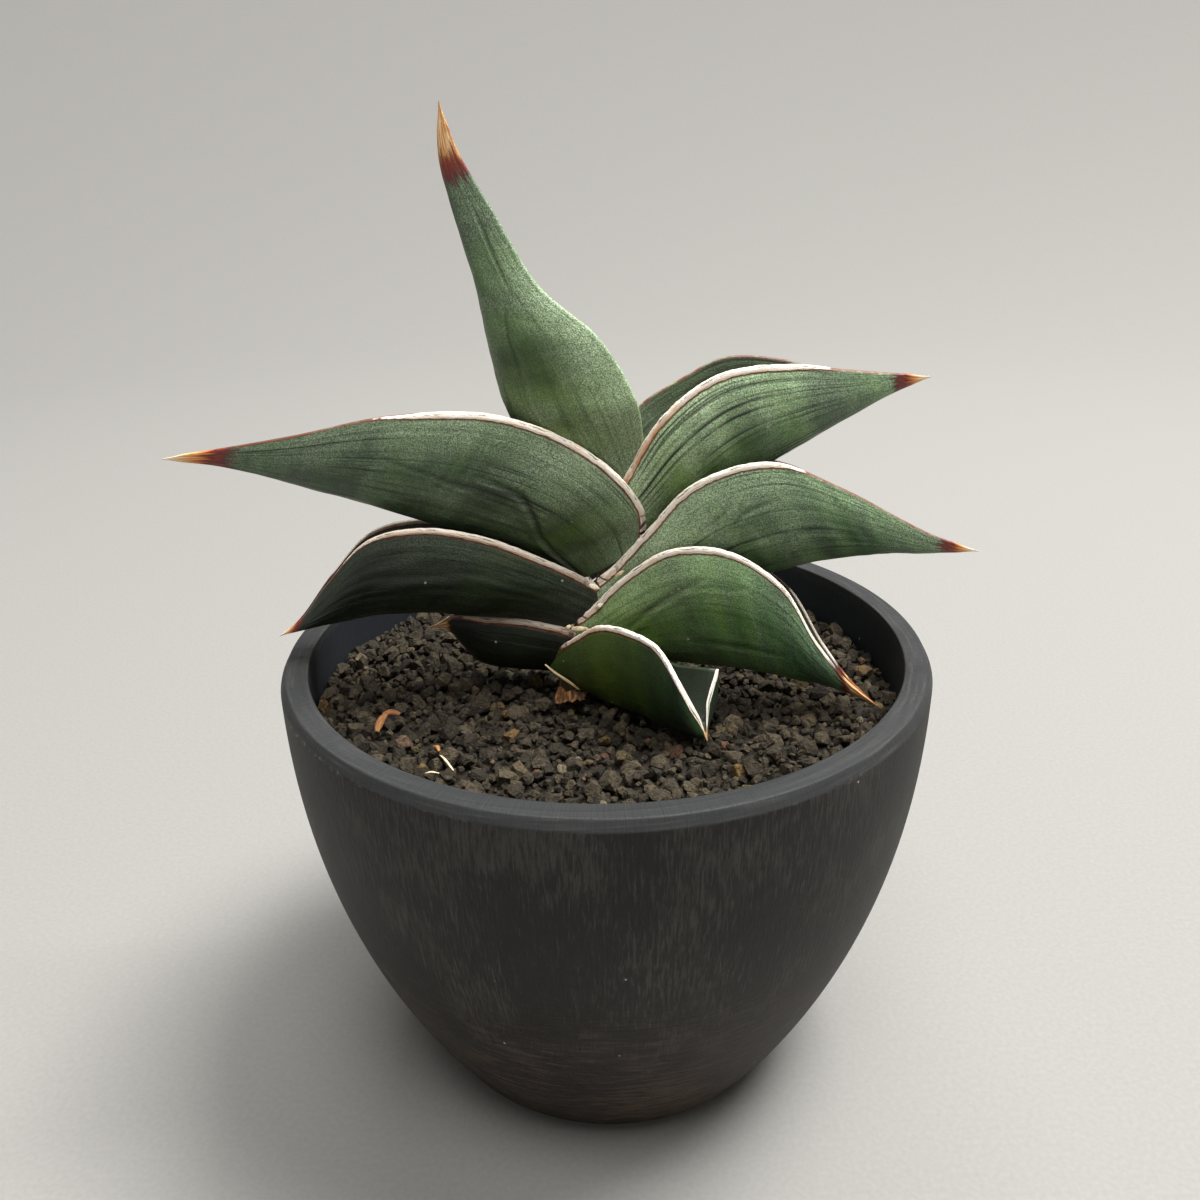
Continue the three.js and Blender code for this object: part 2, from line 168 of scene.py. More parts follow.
drill_bm = bmesh.new()
for k in range(DRAIN_HOLES):
    turn = (k + 0.5) / DRAIN_HOLES * 2 * math.pi
    place = Matrix.Translation((DRAIN_CIRCLE * MM * math.cos(turn), DRAIN_CIRCLE * MM * math.sin(turn), 0))
    bmesh.ops.create_cone(drill_bm, cap_ends=True, segments=48, radius1=DRAIN_RADIUS * MM,
                          radius2=DRAIN_RADIUS * MM, depth=4 * POT_FLOOR * MM, matrix=place)
drain_drill = finished("drain_drill", taken("drain_drill", drill_bm))
cut = moulded_pot.modifiers.new("drain holes", "BOOLEAN")
cut.object = drain_drill
cut.solver = "EXACT"
cut_mesh = applied(moulded_pot)
bpy.data.objects.remove(drain_drill)


def colour(hex_code):
    """The linear colour of an sRGB hex value."""
    parts = [int(hex_code[k:k + 2], 16) / 255 for k in (1, 3, 5)]
    return (*(part / 12.92 if part <= 0.04045 else ((part + 0.055) / 1.055) ** 2.4 for part in parts), 1)


def adder(tree):
    """A function that adds a node to a tree."""
    def add(kind, *values, stops=(), stretch=None, give=None, **named):
        """A new node's first output, or the one to give. A word after the kind is its operation or data type.
        The values fill its inputs in the order that it shows them: for a MapRange, what goes in, the ends of
        its range and what they turn into. A name with a capital is an input too, any other name a setting.
        stretch scales the place that a texture of scale 1 reads."""
        if stretch:
            values = (add("Mapping", values[0], Scale=stretch), 1)
        kind, *mode = kind.split()
        made = tree.nodes.new(kind if "Node" in kind else "ShaderNode" + kind)
        for word in mode:
            setattr(made, "operation" if "Math" in kind else "data_type", word)
        for name, value in named.items():
            if name[0].islower():
                setattr(made, name, value)
        for place, (position, value) in enumerate(stops):
            if place > 1:
                made.color_ramp.elements.new(position)
            made.color_ramp.elements[place].position = position
            made.color_ramp.elements[place].color = colour(value)
        filled = list(zip([socket for socket in made.inputs if socket.enabled], values))
        filled += [(made.inputs[name.replace("_", " ")], named[name]) for name in named if name[0].isupper()]
        for socket, value in filled:
            if isinstance(value, bpy.types.NodeSocket):
                tree.links.new(value, socket)
            else:
                socket.default_value = colour(value) if str(value).startswith("#") else value
        shown = [output for output in made.outputs if output.enabled] or [None]
        return made.outputs[give] if give else shown[0]
    return add


def new_finish(name):
    """An empty material and the function that adds its nodes."""
    finish = bpy.data.materials.new(name)
    finish.use_nodes = True
    finish.node_tree.nodes.clear()
    return finish, adder(finish.node_tree)


def store(mesh, name, kind, values):
    """Keeps one value or vector for each vertex of a mesh, for its material to read."""
    kept = mesh.attributes.new(name, kind, "POINT")
    kept.data.foreach_set("value" if kind == "FLOAT" else "vector", np.asarray(values, np.float32).ravel())


pot_places = np.empty(len(cut_mesh.vertices) * 3, np.float32)
cut_mesh.vertices.foreach_get("co", pot_places)
pot_places = pot_places.reshape(-1, 3)
across = np.maximum(np.hypot(pot_places[:, 0], pot_places[:, 1]), 1e-6)
around = np.stack([pot_places[:, 0] / across * RIM_RADIUS, pot_places[:, 1] / across * RIM_RADIUS,
                   pot_places[:, 2] / MM], 1)
store(cut_mesh, "around", "FLOAT_VECTOR", around)
outside = (across / MM > [pot_radius(height) - POT_WALL * 0.4 for height in pot_places[:, 2] / MM])
store(cut_mesh, "outside", "FLOAT", outside)

# Polypropylene, moulded and then brushed by handling: nearly black and satin, with short upright brush marks
# in the middle, browner level ones near the foot, and a greyer rim
polypropylene, add = new_finish("brushed_polypropylene")
wrapped = add("Attribute", attribute_name="around", give="Vector")
height_mm = add("SeparateXYZ", wrapped, give="Z")
# Upright marks about 0.5 mm wide and 4 mm long; level ones 0.8 mm high and 9 mm long, gently waved
upright_marks = add("TexNoise", wrapped, stretch=(2, 2, 0.24), Detail=6, Roughness=0.7, Distortion=0.2)
level_marks = add("TexNoise", wrapped, stretch=(0.11, 0.11, 1.3), Detail=6, Roughness=0.65, Distortion=0.5)
clouds = add("TexNoise", wrapped, Scale=0.045, Detail=5, Roughness=0.6)
waver = add("Math MULTIPLY_ADD", clouds, 50, height_mm)
level_marks = add("Math MULTIPLY_ADD", level_marks, 1.7, -0.35)
near_foot = add("MapRange", waver, 80, 50)
marks = add("Mix", near_foot, upright_marks, level_marks)
cloudy = add("Math MULTIPLY", clouds, 0.45)
marks = add("Math MULTIPLY_ADD", marks, 0.6, cloudy)
body_colour = add("ValToRGB", marks, stops=[(0.41, "#110f0e"), (0.52, "#1b1816"), (0.62, "#353330")])
foot_colour = add("ValToRGB", marks, stops=[(0.41, "#130e0a"), (0.52, "#1f1812"), (0.62, "#403428")])
body_colour = add("Mix RGBA", near_foot, body_colour, foot_colour)
# Painted sheen: the belly of the pot is painted a little paler, standing in for the reflection of its pale
# surroundings
from_belly = add("Math SUBTRACT", height_mm, 56)
from_belly = add("Math ABSOLUTE", from_belly)
painted_belly_sheen = add("MapRange", from_belly, 0, 32, 1.35, 1, interpolation_type="SMOOTHSTEP")
body_colour = add("VectorMath SCALE", body_colour, painted_belly_sheen)
at_rim = add("MapRange", height_mm, body_top - 0.2, body_top + 0.1)
place = add("TexCoord", give="Object")
flat = add("VectorMath MULTIPLY", place, (1, 1, 0))
from_axis = add("VectorMath LENGTH", flat)
# The rim's scuffs run round it, 0.5 mm wide and 12 mm long
ringwise = add("VectorMath MULTIPLY", place, (80, 80, 1600))
across_rim = add("Math MULTIPLY", from_axis, 1900)
rim_marks = add("CombineXYZ", across_rim)
rim_marks = add("VectorMath ADD", rim_marks, ringwise)
rim_marks = add("TexNoise", rim_marks, Scale=1, Detail=7, Roughness=0.7)
rim_colour = add("ValToRGB", rim_marks, stops=[(0.34, "#232424"), (0.54, "#2b2c2c"), (0.74, "#454340")])
outside_flag = add("Attribute", attribute_name="outside", give="Fac")
wall_colour = add("Mix RGBA", outside_flag, "#24272b", body_colour)
two_tone = add("Mix RGBA", at_rim, wall_colour, rim_colour)
# Painted highlight: a thin broken pale line on the lower corner of the rim's band, where the corner catches
# the light
scuffs = add("TexNoise", place, Scale=700, Detail=8, Roughness=0.75)
corner_off = add("Math SUBTRACT", height_mm, body_top)
corner_off = add("Math ABSOLUTE", corner_off)
corner = add("MapRange", corner_off, 0.5, 0.1)
corner = add("Math MULTIPLY", corner, outside_flag)
broken_highlight_line = add("MapRange", scuffs, 0.5, 0.66)
knocked = add("TexNoise", place, Scale=28, Detail=2)
knocked = add("MapRange", knocked, 0.46, 0.6)
broken_highlight_line = add("Math MULTIPLY", broken_highlight_line, knocked)
corner_highlight = add("Math MULTIPLY", corner, broken_highlight_line)
highlit_colour = add("Mix RGBA", corner_highlight, two_tone, "#77736c")
# A few specks of lime and dust about 0.5 mm across
speck_cells = add("TexVoronoi", place, Scale=95)
specks = add("MapRange", speck_cells, 0.03, 0.02)
dusted = add("Mix RGBA", specks, highlit_colour, "#a9a59b")
gloss = add("MapRange", marks, 0.4, 0.65, 0.5, 0.64)
mark_bump = add("Bump", Height=marks, Strength=0.6, Distance=0.0006)
scuff_bump = add("Bump", Height=scuffs, Normal=mark_bump, Strength=0.15, Distance=0.0004)
shader = add("BsdfPrincipled", Base_Color=dusted, Roughness=gloss, Normal=scuff_bump, IOR=1.49,
             Specular_IOR_Level=0.25)
add("OutputMaterial", shader)
cut_mesh.materials.clear()
cut_mesh.materials.append(polypropylene)
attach(moulded_pot, "root")
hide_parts("pot")

# Soil
# A dry mineral mix of baked and volcanic grains, sieved to 2 to 4 mm, poured round the roots and left level
# a finger's width below the rim. Two loose layers of grains lie on a bed that fills the pot.
SOIL_LEVEL = POT_HEIGHT - 10.6
SOIL_CLEARANCE = 0.3
GRAIN_KINDS = 8
GRAIN_CORNERS = 20
BED_BELOW_LEVEL = 1.6
BED_FACES_ROUND = 144
BED_LUMPS = (-0.5, 0.4)
GRAIN_HEAVE = 0.6
SMALLEST_GRAIN = 0.5
LARGEST_GRAIN = 1.7
soil_radius = pot_radius(SOIL_LEVEL) - POT_WALL

porous, add = new_finish("baked_clay_and_pumice")
place = add("TexCoord", give="Object")
tone = add("Attribute", attribute_name="tone", give="Fac")
# Most grains are dark umber; about one in twenty-five is ochre, olive or brick
mineral = add("ValToRGB", tone,
              stops=[(0, "#2e281f"), (0.5, "#423a2d"), (0.955, "#554b3a"), (0.965, "#70552f"),
              (0.98, "#575135"), (0.985, "#624232"), (1, "#736a55")])
# Painted light and shade: each grain is painted darker in its pits, 0.3 to 0.7 mm across, and paler on its
# high points, following the noise of its bump
pitted = add("TexNoise", place, Scale=1500, Detail=4, Roughness=0.7)
speckle = add("MapRange", pitted, 0.35, 0.68, 0.4, 1.5)
pit_shaded_mineral = add("VectorMath SCALE", mineral, speckle)
pits = add("Bump", Height=pitted, Strength=1, Distance=0.0012)
shader = add("BsdfPrincipled", Base_Color=pit_shaded_mineral, Roughness=0.95, Normal=pits, IOR=1.5,
             Specular_IOR_Level=0.3)
add("OutputMaterial", shader)

# The bed: a fill that stays just clear of the pot, with a lumpy top
bed_outline = [(0, POT_FLOOR + SOIL_CLEARANCE)]
bed_outline += [(pot_radius(height) - POT_WALL - SOIL_CLEARANCE, height)
                for height in np.linspace(POT_FLOOR + SOIL_CLEARANCE, SOIL_LEVEL - BED_BELOW_LEVEL, 24)]
bed_outline += [(radius, SOIL_LEVEL - BED_BELOW_LEVEL)
                for radius in np.linspace(soil_radius - BED_BELOW_LEVEL, 0, 40)]
lumps = np.random.default_rng(5)


def lump(radius, height):
    return lumps.uniform(*BED_LUMPS) if height > SOIL_LEVEL - 2 and radius < soil_radius - 1 else 0


bed_mesh = turned("soil_bed", bed_outline, BED_FACES_ROUND, lump)
soil_bed = finished("soil_bed", bed_mesh)
store(bed_mesh, "tone", "FLOAT", np.full(len(bed_mesh.vertices), 0.05))
bed_mesh.materials.append(porous)
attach(soil_bed, "root")
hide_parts("soil")

grain_kinds = bpy.data.collections.new("grain_kinds")
shapes = np.random.default_rng(7)
for kind in range(GRAIN_KINDS):
    grain_bm = bmesh.new()
    stretch = shapes.uniform(0.78, 1.22, 3)
    for corner in range(GRAIN_CORNERS):
        direction = shapes.normal(size=3)
        direction /= np.linalg.norm(direction)
        grain_bm.verts.new(direction * stretch * shapes.uniform(0.38, 0.56) * MM)
    bmesh.ops.convex_hull(grain_bm, input=grain_bm.verts)
    loose = [vertex for vertex in grain_bm.verts if not vertex.link_faces]
    bmesh.ops.delete(grain_bm, geom=loose, context="VERTS")
    bmesh.ops.recalc_face_normals(grain_bm, faces=grain_bm.faces)
    grain = bpy.data.objects.new(f"grain_kind_{kind}", taken("grain_kind", grain_bm))
    grain_kinds.objects.link(grain)


def poured_grains(name, grain_size, spacing, height, seed):
    """One layer of grains: points spread over a disc, each with a grain of its own size, turn and tone."""
    disc_bm = bmesh.new()
    bmesh.ops.create_circle(disc_bm, cap_ends=True, segments=96,
                            radius=(soil_radius - 0.55 * grain_size) * MM,
                            matrix=Matrix.Translation((0, 0, height * MM)))
    layer = bpy.data.objects.new(name, taken(name, disc_bm))
    bpy.context.scene.collection.objects.link(layer)
    group = bpy.data.node_groups.new(name, "GeometryNodeTree")
    sockets = {}
    for label, kind in (("Geometry", "NodeSocketGeometry"), ("Grain size", "NodeSocketFloat"),
                        ("Spacing", "NodeSocketFloat"), ("Seed", "NodeSocketInt")):
        sockets[label] = group.interface.new_socket(label, in_out="INPUT", socket_type=kind).identifier
    group.interface.new_socket("Geometry", in_out="OUTPUT", socket_type="NodeSocketGeometry")
    add = adder(group)
    given = add("NodeGroupInput").node.outputs
    points = add("GeometryNodeDistributePointsOnFaces", Mesh=given["Geometry"],
                 Distance_Min=given["Spacing"], Density_Max=3.0e6, Seed=given["Seed"],
                 distribute_method="POISSON")
    heave = add("FunctionNodeRandomValue", (0, 0, -GRAIN_HEAVE * MM), (0, 0, GRAIN_HEAVE * MM), Seed=3,
                data_type="FLOAT_VECTOR")
    heaved = add("GeometryNodeSetPosition", Geometry=points, Offset=heave)
    kinds = add("GeometryNodeCollectionInfo", Collection=grain_kinds, Separate_Children=True,
                Reset_Children=True)
    turn = add("FunctionNodeRandomValue", (0, 0, 0), (6.28, 6.28, 6.28), Seed=1, data_type="FLOAT_VECTOR")
    share = add("FunctionNodeRandomValue", 0, 1, Seed=2)
    skewed = add("Math POWER", share, 2)
    spread = add("MapRange", skewed, 0, 1, SMALLEST_GRAIN, LARGEST_GRAIN)
    size = add("Math MULTIPLY", spread, given["Grain size"])
    placed = add("GeometryNodeInstanceOnPoints", Points=heaved, Instance=kinds, Pick_Instance=True,
                 Rotation=turn, Scale=size)
    tone_of = add("FunctionNodeRandomValue", 0, 1, Seed=5)
    toned = add("GeometryNodeStoreNamedAttribute", Geometry=placed, Name="tone", Value=tone_of,
                data_type="FLOAT", domain="INSTANCE")
    real = add("GeometryNodeRealizeInstances", Geometry=toned)
    dressed = add("GeometryNodeSetMaterial", Geometry=real, Material=porous)
    add("NodeGroupOutput", Geometry=dressed)
    pour = layer.modifiers.new("pour", "NODES")
    pour.node_group = group
    pour[sockets["Grain size"]] = grain_size
    pour[sockets["Spacing"]] = spacing * MM
    pour[sockets["Seed"]] = seed
    applied(layer)
    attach(layer, "root")


poured_grains("lower_grains", 2.3, 1.75, SOIL_LEVEL - 1.2, 23)
poured_grains("upper_grains", 2.7, 2.35, SOIL_LEVEL - 0.1, 11)
for kind in list(grain_kinds.objects):
    bpy.data.objects.remove(kind)
bpy.data.collections.remove(grain_kinds)

# Stem
# The plant's short fleshy stem with its rhizome and roots, ringed where leaves are attached. Little of it
# shows between the leaf bases, so the solid keeps its shape and gets the finish of a dry underground stem.
cork, add = new_finish("dry_rhizome_skin")
place = add("TexCoord", give="Object")
scars = add("TexNoise", place, stretch=(60, 60, 700), Detail=5)
skin = add("ValToRGB", scars, stops=[(0.3, "#5b4a30"), (0.6, "#8f8259"), (0.8, "#b7a67c")])
rings_bump = add("Bump", Height=scars, Strength=0.6, Distance=0.0006)
shader = add("BsdfPrincipled", Base_Color=skin, Roughness=0.7, Normal=rings_bump, IOR=1.45)
add("OutputMaterial", shader)
frame["nodes"]["rootstock"].data.materials.clear()
frame["nodes"]["rootstock"].data.materials.append(cork)

# Leaves
# Eight thick succulent leaves in two ranks, each folded into a deep channel, with a hard papery margin along
# both edges and a sharp spine. An older leaf's edges clasp the base of the next younger one.
STEM_AXIS = [(-8.5, 46), (-8, 64), (-7.2, 84), (-5.5, 92), (-2, 101), (1, 108), (4.4, 120.6)]
# For each leaf, direction is its heading in degrees, node its height on the stem, base half the width of
# the part that clasps the stem, spread and taper the blade's half width and how it follows the leaf's
# depth, and far the far wing's height against the near one's, at the base, in the middle and at the point.
# spine is the hard point's length, and dry how much of it has bleached. margin is the width of the papery
# band and the thickness of the edge, paper and far_paper where along the leaf each margin's pale band thins
# out, and bare where the near one widens again from a worn base. light is painted light and shade: how pale
# or dark the flesh and margins are painted for how much light falls on the leaf. wax is how thick its bloom,
# fresh how green its base, rust how stained the margin is at the base and beyond, fibre how strong the dark
# lines are, and folds how deep the lengthwise wrinkles are.
# Sections give the keel's outward distance and height and the near margin's, in millimetres from the stem's
# axis along the leaf's direction. Wings, for a leaf that opens out, give the share of the length, the near
# and the far half width, and the far height. Creases cross the near face: depth, width, and for each point
# its share of the length and of the way from keel to margin.
# What most leaves have comes first; a leaf's own entry can say otherwise.
MOST_LEAVES = dict(taper=0.85, margin=(0.8, 1.1), bare=(-2, -1), dry=0, creases=[])
LEAVES = {
    "leaf_1": dict(direction=-46, node=85, base=6.2, spread=7.5, taper=0.4, far=(1, 1, 1), spine=1.6,
        margin=(0.7, 0.9), bare=(-0.04, 0.2), paper=(1.2, 1.3), far_paper=(0.775, 0.735), light=0.62,
        wax=0.12, fresh=1.9, rust=(0.7, 0.25), fibre=0.12, folds=0.04, dry=1,
        sections=[(6.2, 87, -3, 91), (11, 85, 6.2, 98.6), (17, 85, 13.2, 103.4), (23.5, 85.3, 21.2, 104.5),
            (29.5, 85.6, 28.5, 103.4), (34, 85.9, 32.9, 98.6), (36, 86, 35.3, 91.6),
            (36.9, 85.6, 36.8, 86.2)],
        wings=[(0, 6.2, 6.2, 8.5), (0.15, 6.2, 6, 9.5), (0.3, 5.4, 5.5, 10.2), (0.4, 4.9, 5, 10.5),
            (0.5, 4.7, 4.8, 10.8), (0.6, 5, 5.2, 11.4), (0.7, 4.8, 5.9, 11.6), (0.75, 4.2, 6.6, 11.4),
            (0.8, 3.2, 4.5, 9.4), (0.85, 2.1, 2.7, 7.4), (0.9, 1.1, 1.7, 4.8), (0.95, 0.5, 0.8, 2.3),
            (1, 0.15, 0.15, 0.5)]),
    "leaf_2": dict(direction=176, node=88, base=5.5, spread=6.5, far=(0.8, 0.8, 0.8), spine=4.5,
        paper=(0.5, 0.75), far_paper=(0.6, 0.8), light=0.07, wax=0.35, fresh=0.9, rust=(0.7, 0.7), fibre=0.5,
        folds=0.06, dry=1,
        sections=[(6, 88, -5, 97), (11, 88.3, 2, 99.5), (16, 88.8, 9.5, 101.3), (20, 90, 16, 101.5),
            (23.3, 93.5, 22, 101), (26, 96.5, 26, 99.5), (30, 97, 30, 97.6)]),
    "leaf_3": dict(direction=-14, node=92, base=5.4, spread=7.5, far=(0.77, 0.77, 0.77), spine=9.6,
        paper=(1.2, 1.3), far_paper=(0.68, 0.6), light=1.9, wax=0.42, fresh=0.9, bare=(-0.02, 0.05),
        rust=(0.3, 0.2), fibre=0.4, folds=0.06, dry=0.7,
        sections=[(7.5, 91.5, -4, 98.5), (14, 92, 3.5, 103.5), (21.5, 92, 10.5, 111), (29.5, 92, 20, 118),
            (37.5, 91.5, 31, 118.6), (44.5, 90.5, 41, 112.2), (51.5, 89.3, 48, 100), (56.5, 87.7, 54.5, 91.3),
            (60.5, 85.8, 60.5, 86.4)],
        creases=[
            (0.35, 0.36, [(0.186, 0.69), (0.295, 0.76), (0.359, 0.79), (0.441, 0.86)]),
            (0.24, 0.3, [(0.38, 0.79), (0.441, 0.81), (0.486, 0.81), (0.532, 0.85)]),
            (0.16, 0.6, [(0.35, 0.47), (0.418, 0.46), (0.5, 0.46), (0.605, 0.49)])]),
    "leaf_4": dict(direction=184, node=96, base=5, spread=8, far=(0.85, 0.85, 0.83), spine=6,
        paper=(0.5, 0.78), far_paper=(0.6, 0.8), light=0.19, wax=0.7, fresh=0.4, rust=(0.45, 0.6), fibre=0.6,
        folds=0.16,
        sections=[(7.5, 96, -8, 104.5), (15, 100, -1, 109.2), (24, 101.8, 8, 114.7), (33, 102.8, 19, 120),
            (42, 102.6, 31, 122.6), (49, 101.5, 41, 120.6), (55, 100.2, 50, 111.3), (59, 99.3, 57.3, 102),
            (61.6, 98.4, 61.6, 99)],
        creases=[
            (0.16, 0.7, [(0.6, 0.7), (0.432, 0.69), (0.314, 0.77), (0.227, 0.78)])]),
    "leaf_5": dict(direction=-8, node=101, base=4.8, spread=8, far=(0.88, 0.88, 0.7), spine=7.5,
        paper=(0.55, 0.68), far_paper=(0.35, 0.6), light=1.4, wax=0.95, fresh=0.5, rust=(0.2, 0.15),
        fibre=0.75, folds=0.1,
        sections=[(7.5, 101, -3, 106), (16, 105, 5, 113), (26, 108, 11, 120.3), (35, 111, 20, 130.5),
            (45, 114, 33.5, 135), (54.5, 115.5, 47, 129.8), (66, 116, 64.5, 120), (73.5, 116.4, 73.5, 117)],
        creases=[
            (0.24, 0.3, [(0.464, 0.82), (0.441, 0.79), (0.4, 0.76)]),
            (0.3, 0.3, [(0.555, 0.78), (0.514, 0.77), (0.473, 0.75), (0.441, 0.7)]),
            (0.16, 0.6, [(0.509, 0.52), (0.573, 0.56), (0.65, 0.6)])]),
    "leaf_6": dict(direction=180, node=108, base=4.5, spread=8, far=(0.86, 0.86, 0.86), spine=14,
        paper=(0.5, 0.62), far_paper=(0.4, 0.6), light=0.9, wax=0.95, fresh=0.7, rust=(0.15, 0.2), fibre=0.9,
        folds=0.12,
        sections=[(7.5, 108, -7, 117), (14, 113, -6.6, 124), (22, 117, 2, 134.8), (34, 120.5, 18.5, 142.9),
            (49, 125.5, 40, 143.1), (64, 130, 60, 138.9), (74, 132.8, 72, 136.7), (85.5, 134.2, 85.5, 134.8)],
        creases=[
            (0.3, 0.24, [(0.591, 0.79), (0.536, 0.67), (0.477, 0.62), (0.409, 0.57), (0.332, 0.54)]),
            (0.9, 0.36, [(0.418, 0.67), (0.377, 0.65), (0.336, 0.64), (0.305, 0.58), (0.268, 0.51),
                (0.227, 0.43), (0.145, 0.35), (0.068, 0.33), (0.0, 0.35)]),
            (0.12, 0.6, [(0.605, 0.98), (0.595, 0.85), (0.582, 0.73), (0.568, 0.68)])]),
    "leaf_7": dict(direction=-2, node=114, base=4.2, spread=7.5, far=(1.28, 1.0, 0.8), spine=7.5,
        paper=(0.55, 0.72), far_paper=(-0.3, 0.1), light=1.6, wax=0.95, fresh=0.8, rust=(1, 0.15), fibre=1,
        folds=0.05,
        sections=[(6.5, 114.5, -2.5, 123), (13, 118.5, 2.5, 132), (20, 124, 8.5, 142.2),
            (27.5, 130.5, 18.5, 150), (36.5, 136.3, 31, 151.6), (45, 141.5, 42.5, 150),
            (52.5, 145.6, 51.5, 149), (58.5, 148, 58.5, 148.6)],
        creases=[
            (0.12, 0.4, [(0.445, 0.85), (0.373, 0.79), (0.309, 0.75)])]),
    "leaf_8": dict(direction=180, node=121, base=4, spread=8, far=(0.85, 0.85, 0.85), spine=13.2,
        paper=(-0.3, -0.1), far_paper=(-0.3, -0.1), light=1.02, wax=0.95, fresh=1.3, rust=(0, 0), fibre=0.45,
        folds=0.05, dry=0.6,
        sections=[(4, 121.5, -3.5, 124), (14, 130, -3, 138), (22, 142, -1.5, 146), (25, 154, 5, 157),
            (27, 166, 15.5, 166), (30, 178, 23, 178.5), (32, 188, 28.8, 188.8), (31.5, 196.4, 31, 196.4)],
        creases=[
            (0.25, 0.24, [(0.727, 0.72), (0.682, 0.72), (0.627, 0.7), (0.582, 0.68), (0.545, 0.65)]),
            (0.28, 0.24, [(0.54, 0.56), (0.486, 0.46), (0.445, 0.42), (0.395, 0.42), (0.345, 0.41)])]),
}
WING_THICKNESS = 2.0
KEEL_SHARE = 0.2
SPINE_FILL = 0.7
CURL_AT_BASE = 118
CURL_AT_TIP = 92
BAND_ROWS = (2.6, 2.0, 1.6, 1.3, 1.05, 0.85, 0.65, 0.4, 0.2, 0.0)
STATIONS = 220
NEAR_ROWS = 64
FAR_ROWS = 24
INSIDE_ROWS = 12
RIPPLES = 6
CREASE_SWELL = 0.8
BAND_STEP = 0.1
GROOVE_DEPTH = 0.09
GROOVE_WIDTH = 0.2


def smooth(value, start, end):
    share = np.clip((value - start) / (end - start), 0, 1)
    return share * share * (3 - 2 * share)


def blend(low, high, share):
    return low + (high - low) * share


def grown_curve(points, steps):
    """A smooth curve through points, in even steps of their numbering, that bends gently where they crowd."""
    points = np.asarray(points, float)
    padded = np.vstack([2 * points[0] - points[1], points, 2 * points[-1] - points[-2]])
    curve = []
    for t in np.linspace(0, len(points) - 1, steps + 1):
        k = min(int(t), len(points) - 2)
        share = t - k
        before, here, after, later = padded[k:k + 4]
        gaps = [max(np.linalg.norm(gap) ** 0.5, 1e-4) for gap in (here - before, after - here, later - after)]
        leave = (here - before) / gaps[0] - (after - before) / (gaps[0] + gaps[1]) + (after - here) / gaps[1]
        reach = (after - here) / gaps[1] - (later - here) / (gaps[1] + gaps[2]) + (later - after) / gaps[2]
        leave *= gaps[1]
        reach *= gaps[1]
        curve.append(here + leave * share + (3 * (after - here) - 2 * leave - reach) * share**2
                     + (2 * (here - after) + leave + reach) * share**3)
    return np.array(curve)


def ripple(along, across_leaf, seed, scale):
    """Gentle unevenness from -1 to 1, a sum of slow waves."""
    phases = np.random.default_rng(seed)
    total = 0
    for wave in range(RIPPLES):
        turn = phases.uniform(0, 2 * math.pi)
        pace = phases.uniform(0.6, 1.6) / scale
        total = total + np.sin(along * pace * math.cos(turn) * 6.28
                               + across_leaf * pace * math.sin(turn) * 6.28 + phases.uniform(0, 6.28))
    return total / RIPPLES


def crease_profile(points, width, run, depth, near_share):
    """How deep in a crease each point of the near face lies, and how high on the swelling beside it."""
    stations = np.interp([along for along, share in points], np.linspace(0, 1, len(run)), run)
    heights = [share * np.interp(along, np.linspace(0, 1, len(run)), depth) for along, share in points]
    line = np.stack([stations, heights], 1)
    here = np.stack([np.broadcast_to(run[:, None], near_share.shape), near_share * depth[:, None]], 2)
    nearest = np.full(near_share.shape, 1e9)
    below = np.full(near_share.shape, 1e9)
    fade = np.zeros(near_share.shape)
    lengths = np.concatenate([[0], np.cumsum(np.linalg.norm(np.diff(line, axis=0), axis=1))])
    for k, (start, end) in enumerate(zip(line, line[1:])):
        leg = end - start
        part = np.clip(((here - start) @ leg) / (leg @ leg), 0, 1)
        off = np.linalg.norm(here - start - part[:, :, None] * leg, axis=2)
        across_line = leg[0] * (here[:, :, 1] - start[1]) - leg[1] * (here[:, :, 0] - start[0])
        signed = off * np.sign(across_line) * np.sign(start[0] - end[0])
        travelled = (lengths[k] + part * (lengths[k + 1] - lengths[k])) / lengths[-1]
        closer = off < nearest
        fade = np.where(closer, np.sin(np.clip(travelled, 0.03, 0.97) * math.pi) ** 0.6, fade)
        below = np.where(closer, signed, below)
        nearest = np.minimum(nearest, off)
    swelling = np.exp(-((below - 2.2 * width) / (1.6 * width)) ** 2)
    return fade * np.exp(-(nearest / width) ** 2), fade * swelling


